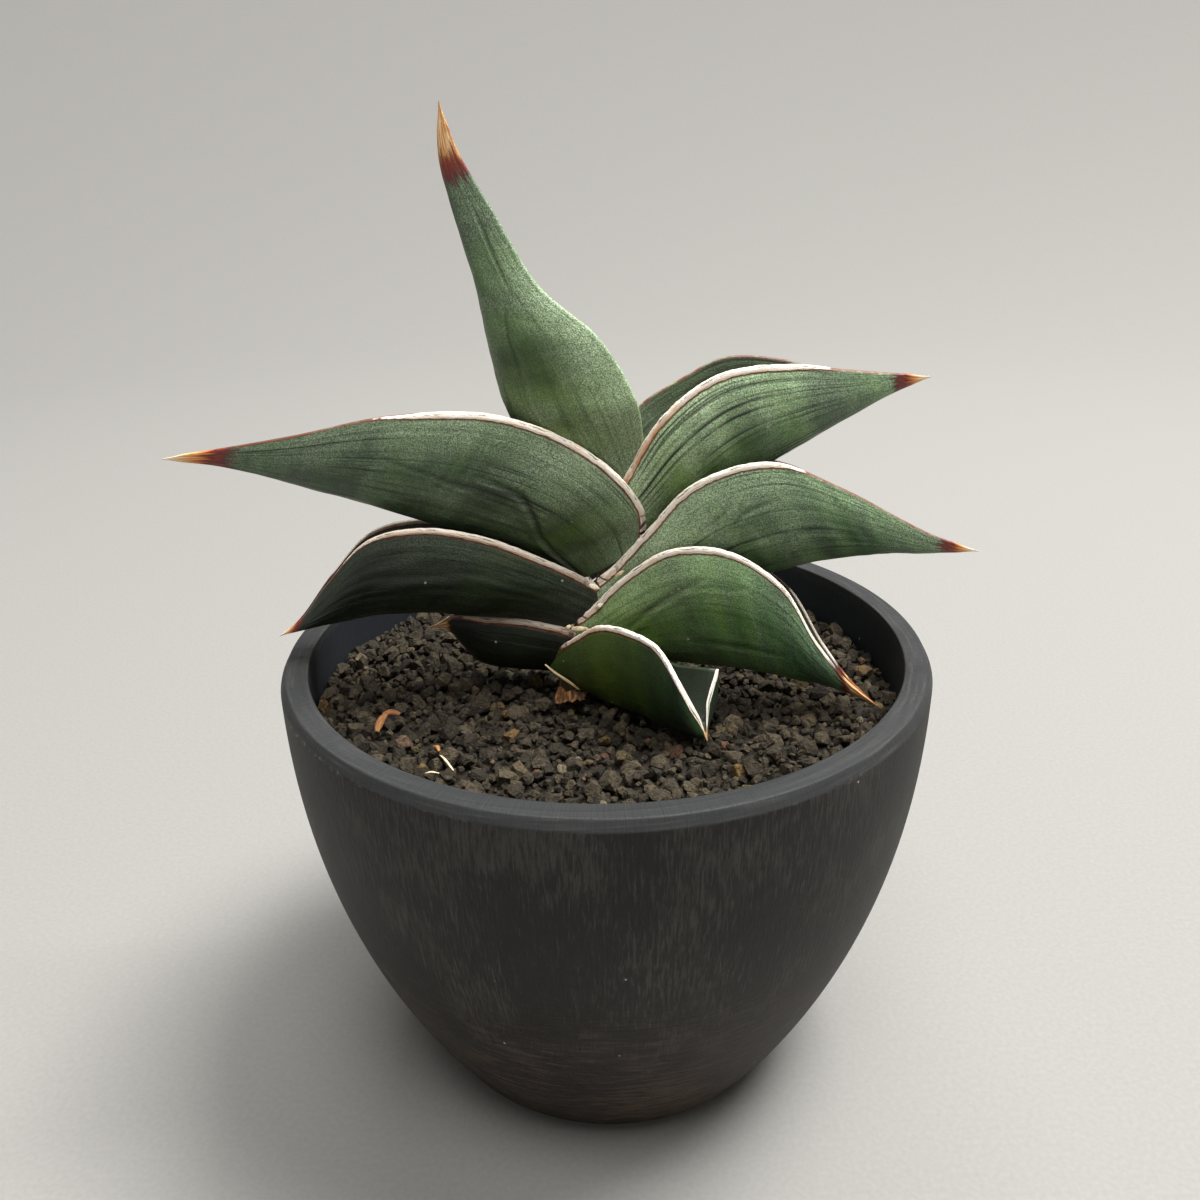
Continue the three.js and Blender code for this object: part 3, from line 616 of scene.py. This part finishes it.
def leaf_mesh(name, leaf, seed):
    """The leaf's skin, with what its material needs to know at each point."""
    leaf = MOST_LEAVES | leaf
    sections = np.array(leaf["sections"], float)
    keel = grown_curve(sections[:, :2], STATIONS)
    crest = grown_curve(sections[:, 2:], STATIONS)
    along = np.linspace(0, 1, STATIONS + 1)
    depth = np.linalg.norm(crest - keel, axis=1)
    up = (crest - keel) / depth[:, None]
    middle = (keel + crest) / 2
    run = np.concatenate([[0], np.cumsum(np.linalg.norm(np.diff(middle, axis=0), axis=1))])
    to_point = run[-1] - run
    blade = leaf["spread"] * (depth / depth.max()) ** leaf["taper"]
    half = far_half = blend(leaf["base"], blade, smooth(along, 0, 0.3))
    at_base, in_middle, at_point = leaf["far"]
    far_depth = blend(at_base, in_middle, smooth(along, 0.1, 0.4))
    far_depth = depth * blend(far_depth, at_point, smooth(along, 0.45, 0.75))
    if "wings" in leaf:
        stations, *profile = np.array(leaf["wings"]).T
        half, far_half, far_depth = [np.interp(along, stations, values) for values in profile]
        half = np.convolve(np.pad(half, 8, "edge"), np.full(17, 1 / 17), "valid")
    curl = np.radians(blend(CURL_AT_BASE, CURL_AT_TIP, smooth(along, 0.2, 0.9)))
    band_width, thickness = leaf["margin"]
    edge_wall = np.minimum(thickness, 0.5 * half)
    wing_wall = np.minimum(WING_THICKNESS, 0.6 * half)
    fill = blend(KEEL_SHARE, SPINE_FILL, smooth(along, 0.72, 0.95))
    direction = math.radians(leaf["direction"])
    near = 1 if math.cos(direction) > 0 else -1
    axis = np.array(STEM_AXIS)
    node_x = np.interp(leaf["node"], axis[:, 1], axis[:, 0])
    # Millimetres of face for one unit of share, next to the margin, and the margin's rows drawn in to fit it
    rate = depth / (1 - np.cos(curl)) * np.sin(curl) * curl
    fit = np.minimum(1, 0.45 * rate / BAND_ROWS[0])
    columns = []

    def add_column(side, shares, face, from_rim):
        wing_depth, wing_half = (depth, half) if side == near else (far_depth, far_half)
        turn = shares * curl
        rise = (1 - np.cos(turn)) / (1 - np.cos(curl))
        wall = (edge_wall + (wing_wall - edge_wall) * (1 - shares**3)) / np.sin(curl)
        if face == "inside":
            out = (wing_half - wall) * np.sin(turn)
            rise = rise + fill * np.clip(1 - shares, 0, 1) ** 1.3
        else:
            out = wing_half * np.sin(turn)
        over_edge = thickness if face == "inside" else 0
        columns.append([side * out, rise * wing_depth, np.zeros_like(along) + from_rim,
                        np.full_like(along, -over_edge), np.full_like(along, face == "inside"),
                        side * shares])

    def add_face(side, face, towards_margin, plain_rows, band_rows):
        rows = [((1 - band_rows[0] * fit / rate) * k / plain_rows, None) for k in range(1, plain_rows + 1)]
        rows += [(1 - distance * fit / rate, distance) for distance in band_rows[1:]]
        for shares, distance in rows if towards_margin else rows[::-1]:
            from_rim = (1 - shares) * rate / fit if distance is None else distance
            add_column(side, shares, face, from_rim)

    def add_edge(side, steps):
        wing_depth, wing_half = (depth, half) if side == near else (far_depth, far_half)
        wall = edge_wall / np.sin(curl)
        for share in steps:
            columns.append([side * (wing_half - wall * share) * np.sin(curl),
                            wing_depth + math.sin(share * math.pi) * 0.25 * edge_wall, np.zeros_like(along),
                            np.full_like(along, -share * thickness), np.full_like(along, 0.5),
                            side * np.ones_like(along)])

    add_face(-1, "outside", False, NEAR_ROWS if near < 0 else FAR_ROWS, BAND_ROWS)
    add_column(1, np.zeros_like(along), "outside", 20.0)
    add_face(1, "outside", True, NEAR_ROWS if near > 0 else FAR_ROWS, BAND_ROWS)
    add_edge(1, (0.2, 0.4, 0.6, 0.8))
    add_face(1, "inside", False, INSIDE_ROWS, (1.6, 0.8, 0.4, 0.0))
    add_column(1, np.zeros_like(along), "inside", 20.0)
    add_face(-1, "inside", True, INSIDE_ROWS, (1.6, 0.8, 0.4, 0.0))
    add_edge(-1, (0.8, 0.6, 0.4, 0.2))

    table = np.stack([np.stack(column, 1) for column in columns], 2)
    out, height, rim, edge_mm, inside, share = table.transpose(1, 0, 2)
    ring = len(columns)
    width_mm = share * 25
    run_mm = np.broadcast_to(run[:, None], out.shape)

    # The skin's own direction outwards at each point, in the section's plane
    forward = np.stack([np.roll(axis_mm, -1, 1) - np.roll(axis_mm, 1, 1) for axis_mm in (out, height)], 2)
    forward /= np.maximum(np.linalg.norm(forward, axis=2, keepdims=True), 1e-9)
    outwards = np.stack([forward[:, :, 1], -forward[:, :, 0]], 2)

    # Relief: uneven growth over the blade, creases, a papery band along the margin and a groove under it
    on_near = share * near > 0
    near_paper = (1 - smooth(along, *leaf["paper"])) * smooth(along, *leaf["bare"])
    far_paper = 1 - smooth(along, *leaf["far_paper"])
    paper = np.where(on_near, near_paper[:, None], far_paper[:, None])
    soft = (np.clip(to_point / 20, 0, 1) * smooth(along, 0.0, 0.06))[:, None]
    uneven = 0.2 * ripple(run_mm, width_mm, seed, 17) + 0.08 * ripple(run_mm, width_mm, seed + 1, 6)
    uneven += leaf["folds"] * ripple(run_mm * 0.12, width_mm, seed + 2, 2.4)
    relief = uneven * soft * smooth(rim, 0.4, 4.0)
    creased = np.zeros_like(relief)
    for crease_depth, crease_width, points in leaf["creases"]:
        shown = on_near & (inside < 0.25)
        profile, swell = crease_profile(points, crease_width, run, depth, np.abs(share))
        relief += crease_depth * (CREASE_SWELL * swell - profile) * shown
        creased = np.maximum(creased, profile * shown * min(1, crease_depth / 0.3))
    clasp = (1 - smooth(along, 0.06, 0.2))[:, None] * np.ones_like(out)
    band = band_width * (1 + 0.5 * clasp)
    band_edge = band + 0.12 * ripple(run_mm, 0 * width_mm, seed + 3, 5)
    outer_share = np.clip(1 - inside * 2, 0, 1)
    relief += BAND_STEP * paper * outer_share * (1 - smooth(rim, band_edge - 0.1, band_edge + 0.1))
    groove = np.exp(-((rim - band_edge - 0.25) / GROOVE_WIDTH) ** 2)
    relief -= GROOVE_DEPTH * (0.4 + 0.6 * paper) * outer_share * groove
    ragged = 0.1 * ripple(run_mm, 0 * width_mm, seed + 4, 1.7)
    ragged += 0.08 * ripple(run_mm, 0 * width_mm, seed + 5, 4)
    ragged = ragged * np.clip(to_point / 12, 0, 1)[:, None] * (0.3 + 0.7 * paper)
    height = height + ragged * (1 - smooth(rim, 0.0, 1.2))
    out = out + outwards[:, :, 0] * relief
    height = height + outwards[:, :, 1] * relief

    # The spine narrows to its point round its own centre
    sharpen = (0.2 + 0.8 * np.clip(to_point / 4, 0, 1) ** 0.8)[:, None]
    centre_out = out.mean(1, keepdims=True)
    centre_height = height.mean(1, keepdims=True)
    out = centre_out + (out - centre_out) * sharpen
    height = centre_height + (height - centre_height) * sharpen

    side_x = keel[:, None, 0] + up[:, None, 0] * height
    side_z = keel[:, None, 1] + up[:, None, 1] * height
    x = node_x + side_x * math.cos(direction) + out * math.sin(direction)
    y = side_x * math.sin(direction) - out * math.cos(direction)
    places = np.stack([x, y, side_z], 2).reshape(-1, 3) * MM

    station, column = np.meshgrid(np.arange(STATIONS), np.arange(ring), indexing="ij")
    here = station * ring + column
    beside = station * ring + (column + 1) % ring
    quads = np.stack([here, here + ring, beside + ring, beside], 2).reshape(-1, 4)
    faces = quads.tolist() + [list(range(ring)), list(range(STATIONS * ring, (STATIONS + 1) * ring))[::-1]]
    mesh = built(name, places.tolist(), faces, True)
    green = np.clip(leaf["fresh"] * (1 - smooth(along, 0.05, 0.65)), 0, 1)
    rust = blend(*leaf["rust"], smooth(along, 0.22, 0.42))[:, None] * (on_near | ("wings" not in leaf))
    horn = np.clip(to_point / leaf["spine"], 0, 3)
    store(mesh, "grown", "FLOAT_VECTOR", np.stack([run_mm, width_mm, np.full(out.shape, seed * 13.0)], 2))
    store(mesh, "margin", "FLOAT_VECTOR", np.stack([run_mm, rim + edge_mm, rim], 2))
    store(mesh, "band", "FLOAT_VECTOR", np.stack([band, clasp, rust], 2))
    # Painted shade: each leaf's painted lightness falls off towards its base, where shade gathers among the
    # leaves
    light = leaf["light"] * blend(0.62, 1, smooth(along, 0, 0.35))
    wax = leaf["wax"] * (1 - 0.5 * smooth(along, 0.45, 0.75))
    for label, value in (
            ("paper", paper), ("inside", inside), ("creased", creased), ("fresh", green[:, None]),
            ("spine", horn[:, None]), ("light", light[:, None]), ("wax", wax[:, None]),
            ("fibre", leaf["fibre"]), ("bleached", leaf["dry"])):
        store(mesh, label, "FLOAT", np.broadcast_to(value, out.shape))
    return mesh


# Living leaf: green flesh under a hard clear cuticle with a dull grey wax bloom. Fine fibres show as dark
# broken lines along it. Where the flesh ends it dries to pale paper at the margins and to red-brown horn at
# the point.
cuticle, add = new_finish("waxy_leaf_cuticle")
grown = add("Attribute", attribute_name="grown", give="Vector")
margin = add("Attribute", attribute_name="margin", give="Vector")
rim = add("SeparateXYZ", margin, give="Z")
inside, paper_left, creased, fresh, spine, bleached, painted_leaf_light, wax, strength = [
    add("Attribute", attribute_name=label, give="Fac")
    for label in ("inside", "paper", "creased", "fresh", "spine", "bleached", "light", "wax", "fibre")]
place = add("TexCoord", give="Object")
# Flesh: dark green with paler cross bands 5 to 12 mm wide, and a fresher green near the base
bands = add("TexNoise", grown, stretch=(0.13, 0.02, 1), Detail=3, Distortion=0.5)
flesh = add("ValToRGB", bands, stops=[(0.34, "#1d3021"), (0.5, "#294527"), (0.66, "#3c5c2b")])
young_flesh = add("ValToRGB", bands, stops=[(0.34, "#384a13"), (0.66, "#566f1e")])
flesh = add("Mix RGBA", fresh, flesh, young_flesh)
# Bloom: grey wax in soft patches, rubbed away in places, and stronger towards the margin, partly as a painted
# sheen along the crest
bloom = add("TexNoise", grown, stretch=(0.07, 0.1, 1), Detail=5, Roughness=0.6)
bloom = add("MapRange", bloom, 0.36, 0.7, 0.04, 0.4)
rim_wax_and_sheen = add("MapRange", rim, 12, 1, 0, 0.44)
bloom = add("Math ADD", bloom, rim_wax_and_sheen)
# Narrow pale bands cross the leaf where growth slowed, 1 to 3 mm wide
growth = add("TexNoise", grown, stretch=(0.28, 0.025, 1), Detail=2, Distortion=0.3)
growth = add("MapRange", growth, 0.45, 0.7, -0.02, 0.11)
bloom = add("Math ADD", bloom, growth, use_clamp=True)
# The wax is granular, with grains 0.25 mm across
grains = add("TexNoise", place, Scale=4000, Detail=2)
grain = add("MapRange", grains, 0.36, 0.64, 0.5, 1.5)
grain = add("Math MULTIPLY", grain, wax)
bloom = add("Math MULTIPLY", bloom, grain, use_clamp=True)
bloomed = add("Mix RGBA", bloom, flesh, "#9fb290")
# Painted light and shade: the flesh is scaled by each leaf's painted lightness, paler near the margin's crest
# and darker towards the keel, where shade falls; the wax grains vary it a little
speckle = add("MapRange", grains, 0.36, 0.64, 0.82, 1.18)
light = add("Math MULTIPLY", painted_leaf_light, speckle)
keel_shade = add("MapRange", rim, 3, 18, 1.1, 0.78)
light = add("Math MULTIPLY", light, keel_shade)
bloomed = add("VectorMath SCALE", bloomed, light)
# Old knocks healed into pale flecks about 0.4 mm across, one or two to a square centimetre
flecks = add("TexVoronoi", place, Scale=150)
flecks = add("MapRange", flecks, 0.05, 0.025, 0, 0.8)
bloomed = add("Mix RGBA", flecks, bloomed, "#c3c8ac")
# Fibres: dark lines about 0.4 mm wide and 0.9 mm apart, strong in some regions and gone in others
fibres = add("TexNoise", grown, stretch=(0.018, 1.3, 1), Detail=3, Roughness=0.6, Distortion=0.2)
line = add("MapRange", fibres, 0.5, 0.35)
region = add("TexNoise", grown, stretch=(0.06, 0.12, 1), Detail=2)
region = add("MapRange", region, 0.38, 0.58, 0.25, 0.95)
region = add("Math MULTIPLY", region, strength)
line = add("Math MULTIPLY", line, region)
lined = add("Mix RGBA", line, bloomed, "#141d14")
# Painted shade: the creases are darkened in the colour, where shade falls in them
painted_crease_shade = add("Math MULTIPLY", creased, 0.6)
lined = add("Mix RGBA", painted_crease_shade, lined, "#0d140d")
# The channel's inside is plainer and bluer
inner_green = add("Mix RGBA", 0.65, lined, "#4b5044")
faced = add("Math GREATER_THAN", inside, 0.6)
lined = add("Mix RGBA", faced, lined, inner_green)
# Margin: a thin red-brown line, then a band of cream paper with brown fibres along it and cracks across it
waver = add("TexNoise", margin, stretch=(0.7, 0.5, 0), Detail=5)
waver = add("MapRange", waver, 0.25, 0.75, -0.16, 0.16)
wavy_rim = add("Math ADD", rim, waver)
banded = add("Attribute", attribute_name="band", give="Vector")
banded = add("SeparateXYZ", banded).node.outputs
full_band = add("Math ADD", banded["X"], 0.25)
band_width = add("Math MULTIPLY_ADD", paper_left, full_band, -0.25)
past_band = add("Math SUBTRACT", wavy_rim, band_width)
paper_fibres = add("TexNoise", margin, stretch=(0.35, 4, 0), Detail=4, Roughness=0.7)
paper = add("ValToRGB", paper_fibres,
            stops=[(0.28, "#7a543c"), (0.35, "#dcc4a0"), (0.43, "#f7ead4"), (0.6, "#fffaf0")])
# Stain: orange to rust, in stretches of a few millimetres
stain = add("TexNoise", grown, stretch=(0.2, 0, 1), Detail=3)
stain = add("MapRange", stain, 0.3, 0.6, 0.25, 1)
stain = add("Math MULTIPLY", stain, banded["Z"])
across = add("Math DIVIDE", wavy_rim, banded["X"])
inward = add("MapRange", across, 0.15, 0.6, 0.3, 1)
stain = add("Math MULTIPLY", stain, inward)
stained = add("Mix RGBA", stain, paper, "#d98f48")
# Where a margin clasps the stem its middle is rusty between pale edges
mid_band = add("Math SUBTRACT", across, 0.5)
mid_band = add("Math ABSOLUTE", mid_band)
mid_band = add("MapRange", mid_band, 0.36, 0.2)
mid_band = add("Math MULTIPLY", mid_band, banded["Y"])
mid_band = add("Math MULTIPLY", mid_band, 0.5)
stained = add("Mix RGBA", mid_band, stained, "#9c5a2a")
# Painted shade: a leaf painted darker for the shade it stands in has its margin darkened the same way
shade = add("MapRange", painted_leaf_light, 0.08, 0.45, 0.5, 1)
stained = add("VectorMath SCALE", stained, shade)
# Splits: a broken dark line along the margin's corner, and cracks across it where it clasps the stem
corner_mm = add("SeparateXYZ", margin, give="Y")
corner_mm = add("Math MULTIPLY_ADD", waver, 1.2, corner_mm)
corner_mm = add("Math ABSOLUTE", corner_mm)
split = add("MapRange", corner_mm, 0.16, 0.05)
torn = add("TexNoise", margin, stretch=(0.3, 0, 0), Detail=5)
torn = add("MapRange", torn, 0.47, 0.56, 0, 0.75)
split = add("Math MULTIPLY", split, torn)
crack = add("TexVoronoi", margin, stretch=(0.3, 0.12, 0), feature="DISTANCE_TO_EDGE")
crack = add("MapRange", crack, 0.055, 0.03)
crack = add("Math MULTIPLY", crack, banded["Y"])
split = add("Math MAXIMUM", split, crack)
stained = add("Mix RGBA", split, stained, "#2b1a10")
brown_line = add("MapRange", past_band, 0.46, 0.2, 0, 0.9)
any_rust = add("Math MULTIPLY", banded["Z"], 8, use_clamp=True)
brown_line = add("Math MULTIPLY", brown_line, any_rust)
rusted = add("Mix RGBA", brown_line, lined, "#6b3324")
paper_share = add("MapRange", past_band, 0.08, -0.04)
edged = add("Mix RGBA", paper_share, rusted, stained)
# Spine: dark red where it meets the flesh, then orange-brown horn streaked along it, to a cream point
streaks = add("TexNoise", grown, stretch=(0.16, 0.55, 1), Detail=5, Roughness=0.6)
shifted = add("MapRange", streaks, 0.3, 0.7, -0.2, 0.2)
horn_place = add("Math ADD", shifted, spine)
horn = add("ValToRGB", horn_place,
           stops=[(0, "#fff4df"), (0.26, "#f3cf9a"), (0.42, "#dd9450"), (0.58, "#a84f22"),
           (0.66, "#4c1a14"), (0.75, "#82321f"), (0.96, "#4e2226")])
straw = add("ValToRGB", streaks, stops=[(0.38, "#8f4f20"), (0.5, "#d9a362"), (0.66, "#f6e6c8")])
bleached_off = add("Math MULTIPLY_ADD", bleached, -1.2, horn_place)
bleached = add("MapRange", bleached_off, 0, -0.1)
horn = add("Mix RGBA", bleached, horn, straw)
horn_share = add("MapRange", horn_place, 1.06, 0.94)
pointed = add("Mix RGBA", horn_share, edged, horn)
# Grains of wax, fibres and paper all stand up a little
grain_bump = add("Bump", Height=grains, Strength=0.35, Distance=0.0004)
fibre_height = add("Math MULTIPLY", fibres, strength)
fibre_bump = add("Bump", Height=fibre_height, Normal=grain_bump, Strength=0.4, Distance=0.0006)
paper_height = add("Math SUBTRACT", paper_fibres, split)
paper_height = add("Math MULTIPLY", paper_height, paper_share)
paper_bump = add("Bump", Height=paper_height, Normal=fibre_bump, Strength=0.5, Distance=0.0004)
dull = add("MapRange", bloom, 0, 1, 0.38, 0.55)
dull = add("Math MULTIPLY_ADD", paper_share, 0.3, dull)
shader = add("BsdfPrincipled", Base_Color=pointed, Roughness=dull, Normal=paper_bump, IOR=1.45)
add("OutputMaterial", shader)

for rank, (name, leaf) in enumerate(LEAVES.items()):
    skin = finished(name + "_skin", leaf_mesh(name + "_skin", leaf, 31 + rank * 7))
    skin.data.materials.append(cuticle)
    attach(skin, "root")
    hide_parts(name)

# Dry scale
# The brown remains of a still older leaf, dried to crumpled fibrous paper, lying at the stem's foot.
parchment, add = new_finish("dried_leaf_tissue")
place = add("TexCoord", give="Object")
strands = add("TexNoise", place, stretch=(1500, 260, 700), Detail=6)
dried = add("ValToRGB", strands, stops=[(0.32, "#1f150c"), (0.5, "#5b3c1f"), (0.68, "#a8763c")])
strand_bump = add("Bump", Height=strands, Strength=0.8, Distance=0.0006)
shader = add("BsdfPrincipled", Base_Color=dried, Roughness=0.85, Normal=strand_bump, IOR=1.45)
add("OutputMaterial", shader)
scale_low, scale_high = [np.array(corner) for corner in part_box("dry_scale")]
SHEET_STEPS = 26
SHEET_THICKNESS = 0.35
sheet_places, sheet_faces = [], []
for i in range(SHEET_STEPS + 1):
    for j in range(SHEET_STEPS + 1):
        u, v = i / SHEET_STEPS, j / SHEET_STEPS
        torn = 0.9 + 0.1 * math.sin(7 * u + 3 * v) - 0.12 * abs(math.sin(11 * v)) * u
        crumple = 0.5 + 0.3 * math.sin(5.1 * u + 2.2 * v) * math.cos(6.3 * v - 1.5 * u)
        crumple += 0.12 * math.sin(13 * v + 4 * u)
        share = (0.06 + 0.88 * v + 0.05 * math.sin(6 * u), 0.04 + 0.9 * (1 - u * torn), 0.1 + 0.7 * crumple)
        if i and j:
            here = len(sheet_places)
            sheet_faces.append((here - SHEET_STEPS - 2, here - SHEET_STEPS - 1, here, here - 1))
        sheet_places.append((scale_low + (scale_high - scale_low) * share).tolist())
dried_flake = finished("dried_flake", built("dried_flake", sheet_places, sheet_faces, True))
leaf_thickness = dried_flake.modifiers.new("thickness", "SOLIDIFY")
leaf_thickness.thickness = SHEET_THICKNESS * MM
leaf_thickness.offset = 0
applied(dried_flake).materials.append(parchment)
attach(dried_flake, "root")
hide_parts("dry_scale")

# Litter
# Small dry remains: chips that split off the margins where the leaves cross, the papery edge of the oldest
# leaf base, a curl of bark, and two bits of straw on the soil. Each is a thin curled sliver at listed points.
# For each: its tone from cream to rust, width, curl in degrees, the way it faces, and the points along it.
SLIVERS = [
    (0.1, 1.1, 60, (0, -1, 0.5), [(-3.1, -6.1, 109.4), (-2.1, -6.5, 109.1), (-1.2, -6.2, 108.6)]),
    (0.3, 0.8, 50, (0, -1, 0.3), [(2.0, -6, 111.0), (2.9, -6.4, 111.7), (3.7, -6.1, 112.2)]),
    (0.1, 1.0, 70, (0, -1, 0.5), [(-1.9, -6.1, 104.2), (-1.3, -6.6, 105.0), (-0.5, -6.4, 105.4)]),
    (0.2, 0.9, 60, (0, -1, 0.4), [(-8.0, -6.3, 99.9), (-7.5, -6.7, 100.5), (-6.9, -6.4, 100.9)]),
    (0.25, 1.2, 60, (0, -1, 0.3), [(-6.8, -6.4, 100.0), (-5.2, -7.0, 100.3), (-3.5, -6.5, 100.0)]),
    (0.35, 0.6, 30, (0, -1, 0.2), [(-12.2, -7.8, 93.0), (-10.0, -8.4, 91.2), (-8.3, -8.6, 90.0),
                                  (-6.8, -8.6, 88.8), (-5.4, -8.4, 87.4)]),
    (0.8, 1.7, 70, (0.2, -0.6, 1), [(-44.4, -19.9, 85.4), (-44.2, -16.9, 86.0), (-43.4, -14.2, 86.2)]),
    (0.9, 1.4, 60, (0.2, -0.6, 1), [(-44.0, -14.8, 86.3), (-42.6, -13.7, 86.2), (-40.8, -13.9, 85.8)]),
    (0.7, 1.0, 60, (0.5, -0.5, 1), [(-32.8, -25.8, 85.4), (-31.9, -26.6, 85.9), (-31.4, -27.8, 85.5)]),
    (0.25, 0.6, 90, (0.3, -0.3, 1), [(-31.2, -28.6, 85.2), (-29.9, -31.3, 85.9), (-28.1, -33.8, 85.0)]),
    (0.3, 0.4, 60, (0, -0.3, 1), [(-33.2, -34.6, 85.0), (-31.9, -34.8, 85.4), (-30.6, -34.7, 85.0)]),
]
SLIVER_THICKNESS = 0.16
SLIVER_STEPS = 14
SLIVER_ROWS = 5

fibre, add = new_finish("dry_plant_fibre")
tone = add("Attribute", attribute_name="tone", give="Fac")
ribs = add("Attribute", attribute_name="ribs", give="Vector")
# Fibres run along each sliver, 0.2 mm apart
threads = add("TexNoise", ribs, stretch=(0.5, 5, 1), Detail=4)
mottled = add("Math MULTIPLY_ADD", threads, 0.9, -0.45)
mottled = add("Math ADD", mottled, tone)
straw = add("ValToRGB", mottled, stops=[(0, "#f3e7d0"), (0.3, "#d2bd94"), (0.6, "#a2713f"), (1, "#5a3118")])
thread_bump = add("Bump", Height=threads, Strength=0.7, Distance=0.0003)
shader = add("BsdfPrincipled", Base_Color=straw, Roughness=0.8, Normal=thread_bump, IOR=1.45)
add("OutputMaterial", shader)

litter_places, litter_faces, litter_tones, litter_ribs = [], [], [], []
for number, (sliver_tone, width, curl, facing, points) in enumerate(SLIVERS):
    line = grown_curve(points, SLIVER_STEPS)
    tangent = np.gradient(line, axis=0)
    tangent /= np.linalg.norm(tangent, axis=1, keepdims=True)
    side = np.cross(tangent, facing)
    side /= np.linalg.norm(side, axis=1, keepdims=True)
    face = np.cross(side, tangent)
    reach = np.linspace(0, 1, SLIVER_STEPS + 1)
    narrowed = width * (0.25 + 0.75 * np.sin(math.pi * np.clip(reach, 0.06, 0.94)) ** 0.5)
    turns = np.radians(curl) * np.linspace(-0.5, 0.5, SLIVER_ROWS)
    start = len(litter_places)
    ring = 2 * SLIVER_ROWS
    for step in range(SLIVER_STEPS + 1):
        radius = narrowed[step] / np.radians(curl)
        for thickness, order in ((0, 1), (SLIVER_THICKNESS, -1)):
            for turn in turns[::order]:
                over = (radius - thickness) * math.cos(turn) - radius
                beyond = side[step] * (radius - thickness) * math.sin(turn)
                litter_places.append(line[step] + beyond + face[step] * over)
                litter_ribs.append((reach[step] * 8, turn * radius, number * 7.0))
        if step:
            for k in range(ring):
                here, beside = start + (step - 1) * ring + k, start + (step - 1) * ring + (k + 1) % ring
                litter_faces.append((here, beside, beside + ring, here + ring))
    litter_faces.append(tuple(range(start, start + ring))[::-1])
    litter_faces.append(tuple(range(len(litter_places) - ring, len(litter_places))))
    litter_tones += [sliver_tone] * (len(litter_places) - start)
litter_mesh = built("dry_litter", (np.array(litter_places) * MM).tolist(), litter_faces, True)
store(litter_mesh, "tone", "FLOAT", litter_tones)
store(litter_mesh, "ribs", "FLOAT_VECTOR", litter_ribs)
litter_mesh.materials.append(fibre)
dry_litter = finished("dry_litter", litter_mesh)
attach(dry_litter, "root")

# Floor
# A pale sweep: level under the pot, then curving up all round, so that no edge shows from any side.
SWEEP_FLAT = 800
SWEEP_CURVE = 1300
SWEEP_FACES_ROUND = 72
UNDER_THE_POT = 350
sweep_outline = [(SWEEP_FLAT + SWEEP_CURVE * math.sin(math.radians(turn)),
                  SWEEP_CURVE * (1 - math.cos(math.radians(turn)))) for turn in range(80, 0, -4)]
sweep_outline += [(SWEEP_FLAT, 0), (UNDER_THE_POT, 0), (0, 0)]
sweep_mesh = turned("studio_sweep", sweep_outline, SWEEP_FACES_ROUND)
studio_sweep = finished("studio_sweep", sweep_mesh)
card, add = new_finish("matt_studio_card")
place = add("TexCoord", give="Object")
tooth = add("TexNoise", place, Scale=900, Detail=3)
pale = add("ValToRGB", tooth, stops=[(0.3, "#83817d"), (0.7, "#898783")])
shader = add("BsdfPrincipled", Base_Color=pale, Roughness=0.9)
add("OutputMaterial", shader)
sweep_mesh.materials.append(card)

# Light
# A broad soft light overhead and to the right, two that wash the sweep all round, and a dim white sky.
dim_sky = bpy.data.worlds.new("dim_sky")
dim_sky.use_nodes = True
dim_sky.node_tree.nodes.clear()
add = adder(dim_sky.node_tree)
glow = add("Background", Color=(1, 1, 1, 1), Strength=0.13)
add("OutputWorld", glow)
bpy.context.scene.world = dim_sky
for label, place, aim, size, power in (
        ("overhead_softbox", (0.75, 0.15, 1.8), (0, 0, 0.1), 0.8, 75.0),
        ("back_sweep_light", (0, 0.9, 2.2), (0, 1.9, 0.3), 1.2, 34.0),
        ("front_sweep_light", (0, -0.9, 2.2), (0, -1.9, 0.3), 1.2, 52.0)):
    lamp = bpy.data.lights.new(label, "AREA")
    lamp.shape = "SQUARE"
    lamp.size = size
    lamp.energy = power
    holder = bpy.data.objects.new(label, lamp)
    heading = (Vector(aim) - Vector(place)).to_track_quat("-Z", "Y")
    holder.matrix_world = Matrix.Translation(place) @ heading.to_matrix().to_4x4()
    bpy.context.scene.collection.objects.link(holder)
bpy.context.scene.view_settings.view_transform = "Standard"

# Camera
# Close to the plant and looking down on it, as a phone held near the pot, turned by a degree.
CAMERA_PLACE = (-0.996, -209.62, 194.68)
LOOK_DOWN = 23.52
ROLL = -1.01
FOCAL_PIXELS = 1130
PHOTO_SIDE = 1200
SENSOR = 36
eye = bpy.data.cameras.new("phone_camera")
eye.sensor_width = SENSOR
eye.lens = FOCAL_PIXELS / PHOTO_SIDE * SENSOR
eye.clip_start = 0.01
down = math.radians(LOOK_DOWN)
back = Vector((0, -math.cos(down), math.sin(down)))
right = Vector((1, 0, 0))
up = Vector((0, math.sin(down), math.cos(down)))
turned_right = right * math.cos(math.radians(ROLL)) + up * math.sin(math.radians(ROLL))
turned_up = up * math.cos(math.radians(ROLL)) - right * math.sin(math.radians(ROLL))
camera = bpy.data.objects.new("phone_camera", eye)
stand = Matrix((turned_right, turned_up, back)).transposed().to_4x4()
stand.translation = Vector(CAMERA_PLACE) * MM
camera.matrix_world = stand
bpy.context.scene.collection.objects.link(camera)
bpy.context.scene.camera = camera

bpy.context.view_layer.update()
